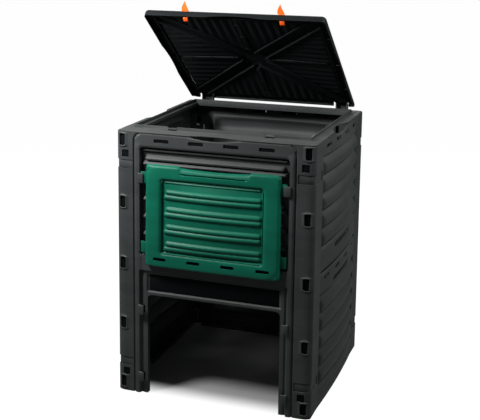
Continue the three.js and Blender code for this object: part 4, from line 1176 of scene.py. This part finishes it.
def barrel(bm, radius, low, high):
    """A round bar along the X axis with its rims rounded over."""
    middle = Matrix.Translation(((low + high) / 2, 0.0, 0.0))
    made = bmesh.ops.create_cone(
        bm, cap_ends=True, segments=32, radius1=radius, radius2=radius, depth=high - low,
        matrix=middle @ Matrix.Rotation(math.pi / 2, 4, "Y"),
    )["verts"]
    edges = {edge for vert in made for edge in vert.link_edges}
    bmesh.ops.bevel(
        bm, geom=[edge for edge in edges if edge.calc_face_angle(0.0) > 1.0], offset=0.5,
        offset_type="OFFSET", segments=2, profile=0.5, affect="EDGES", material=-1,
    )


class BIN_OT_hinges(bpy.types.Operator):
    """Build the hinge brackets and their steel pins"""

    bl_idname = "compost_bin.hinges"
    bl_label = "Hinges"

    def execute(self, context):
        for side in ("left", "right"):
            softened_node(f"hinge_bracket_{side}", 0.6)
            softened_node(f"hinge_pin_{side}", 0.4, "Pin steel")
        return {"FINISHED"}


def along(value, stops):
    """A value read off a list of stops, even between each two."""
    for (low, before), (high, after) in zip(stops, stops[1:]):
        if value <= high:
            return before + (after - before) * max(0.0, value - low) / (high - low)
    return stops[-1][1]


# Edges of a latch's blade: at each share of its height, how far across from its pin they lie.
BLADE_HEIGHT = 45.0
BLADE_LEFT = (
    (0.0, -9.8), (0.11, -10.2), (0.17, -14.6), (0.28, -17.8), (0.42, -19.6), (0.56, -20.0),
    (0.7, -19.4), (0.85, -17.8), (1.0, -15.8),
)
BLADE_RIGHT = (
    (0.0, 4.0), (0.11, 4.8), (0.22, 4.6), (0.34, 2.6), (0.46, -0.9), (0.58, -4.6),
    (0.72, -8.9), (0.86, -12.6), (1.0, -15.3),
)


def latch_blade(x):
    """The flame-shaped blade of a latch, its tip to the left, as a sheet in the lid's frame."""
    ahead, foot = -LATCH_PIN[0], LATCH_PIN[1] + 3.5
    bm = bmesh.new()
    bmesh.ops.create_grid(bm, x_segments=6, y_segments=26, size=1.0)
    for vert in bm.verts:
        share, level = (vert.co.x + 1.0) / 2, (vert.co.y + 1.0) / 2
        low, high = along(level, BLADE_LEFT), along(level, BLADE_RIGHT)
        vert.co = (x + low + (high - low) * share, ahead, foot + BLADE_HEIGHT * level)
    return bm


def latch_hub(x):
    """The barrel of a latch and its hook under the lid."""
    bm = bmesh.new()
    barrel(bm, 4.5, *about(x, 10.4))
    for y, z in (((-2.5, 2.5), (-15.0, 0.0)), ((-2.5, 10.5), (-17.0, -13.0))):
        slab(bm, (x - 4.5, x + 10.4), y, z, 1.4)
    released = Matrix.Rotation(math.radians(-25.0), 4, "X")
    place = Matrix.Translation((0.0, -LATCH_PIN[0], LATCH_PIN[1]))
    bmesh.ops.transform(bm, matrix=place @ released, verts=bm.verts)
    return bm


class BIN_OT_latches(bpy.types.Operator):
    """Build the two lid latches and their steel pins"""

    bl_idname = "compost_bin.latches"
    bl_label = "Latches"

    def execute(self, context):
        for name, x in (("left", -LATCH_CENTRE), ("right", LATCH_CENTRE)):
            latch = f"latch_{name}"
            looks = (in_lid(), "Orange plastic", latch)
            thicken(piece_object(f"{latch}_blade", latch_blade(x), *looks, [latch]), 3.5, 0.0)
            piece_object(f"{latch}_hub", latch_hub(x), *looks)
        for name in ("left", "right"):
            softened_node(f"latch_pin_{name}", 0.4, "Pin steel", "lid")
        return {"FINISHED"}


# Each lamp: its place, what it is aimed at, its size and its power.
LAMPS = {
    "Key lamp": ((-0.7, -0.8, 1.45), (-0.25, -0.3, 0.75), 0.35, 40.0),
    "Side lamp": ((0.95, -0.34, 1.45), (0.3, -0.05, 0.7), 0.4, 14.0),
    "Top lamp": ((0.2, 1.6, 3.2), (0.0, 0.2, 0.8), 1.6, 34.0),
    "Rear lamp": ((-0.6, 2.4, 0.7), (-0.1, 0.3, 0.45), 0.6, 32.0),
}


def area_lamp(name, place, target, size, power):
    """A round lamp at a place, aimed at another."""
    lamp = bpy.data.lights.new(name, "AREA")
    lamp.shape = "DISK"
    lamp.size = size
    lamp.energy = power
    lit = bpy.data.objects.new(name, lamp)
    lit.location = place
    lit.rotation_euler = (Vector(target) - Vector(place)).to_track_quat("-Z", "Y").to_euler()
    bpy.context.scene.collection.objects.link(lit)


class BIN_OT_stage(bpy.types.Operator):
    """Set the pale floor, the soft lamps and the camera"""

    bl_idname = "compost_bin.stage"
    bl_label = "Stage"

    def execute(self, context):
        scene = context.scene
        scene.view_settings.view_transform = "Standard"
        bm = bmesh.new()
        half = scene.compost_bin_sizes.floor_size / 2
        bmesh.ops.create_grid(bm, x_segments=8, y_segments=8, size=half)
        mesh_object("pale_floor", bm, floor_finish())
        world = scene.world or bpy.data.worlds.new("Soft room")
        scene.world = world
        recipe = Recipe(world)
        recipe.feed("Color", (0.97, 0.99, 1.0, 1.0))
        recipe.feed("Strength", 0.09)
        white = recipe.node("ShaderNodeBackground", None, {"Color": (1.0, 1.0, 1.0, 1.0)})
        recipe.veil(recipe.seen_share(1.0, 0.08), white)
        for name, settings in LAMPS.items():
            area_lamp(name, *settings)
        lens = bpy.data.cameras.new("Camera")
        lens.sensor_width = SENSOR_WIDTH
        lens.lens = FOCAL_LENGTH / PICTURE_WIDTH * SENSOR_WIDTH
        lens.shift_x, lens.shift_y = (shift / PICTURE_WIDTH for shift in PICTURE_SHIFT)
        camera = bpy.data.objects.new("Camera", lens)
        camera.location = CAMERA_PLACE
        bearing, pitch, roll = (
            Matrix.Rotation(turn, 3, axis) for turn, axis in zip(CAMERA_TURNS, ("Z", "X", "Z"))
        )
        camera.rotation_euler = (bearing @ pitch @ roll).to_euler()
        scene.collection.objects.link(camera)
        scene.camera = camera
        return {"FINISHED"}


PIECE_OPERATORS = (
    BIN_OT_stage, BIN_OT_front_wall, BIN_OT_rear_wall, BIN_OT_side_walls, BIN_OT_collar,
    BIN_OT_clips, BIN_OT_hatch_door, BIN_OT_lid, BIN_OT_hinges, BIN_OT_latches,
)


class BIN_PT_panel(bpy.types.Panel):
    """Lists the bin's pieces, sizes and colours"""

    bl_idname = "BIN_PT_panel"
    bl_label = "Compost Bin"
    bl_space_type = "VIEW_3D"
    bl_region_type = "UI"
    bl_category = "Compost Bin"

    def draw(self, context):
        for group in (context.scene.compost_bin_sizes, context.scene.compost_bin_colours):
            for name in group.bl_rna.properties.keys():
                if name not in {"rna_type", "name"}:
                    self.layout.prop(group, name)
        for piece in PIECE_OPERATORS:
            self.layout.operator(piece.bl_idname)


CLASSES = (BinSizes, BinColours, *PIECE_OPERATORS, BIN_PT_panel)


def register():
    for cls in CLASSES:
        bpy.utils.register_class(cls)
    bpy.types.Scene.compost_bin_sizes = PointerProperty(type=BinSizes)
    bpy.types.Scene.compost_bin_colours = PointerProperty(type=BinColours)


def unregister():
    del bpy.types.Scene.compost_bin_colours
    del bpy.types.Scene.compost_bin_sizes
    for cls in reversed(CLASSES):
        bpy.utils.unregister_class(cls)


def main():
    register()
    bpy.ops.compost_bin.stage()
    bpy.ops.compost_bin.front_wall()
    bpy.ops.compost_bin.rear_wall()
    bpy.ops.compost_bin.side_walls()
    bpy.ops.compost_bin.collar()
    bpy.ops.compost_bin.clips()
    bpy.ops.compost_bin.hatch_door()
    bpy.ops.compost_bin.lid()
    bpy.ops.compost_bin.hinges()
    bpy.ops.compost_bin.latches()


if __name__ == "__main__":
    main()
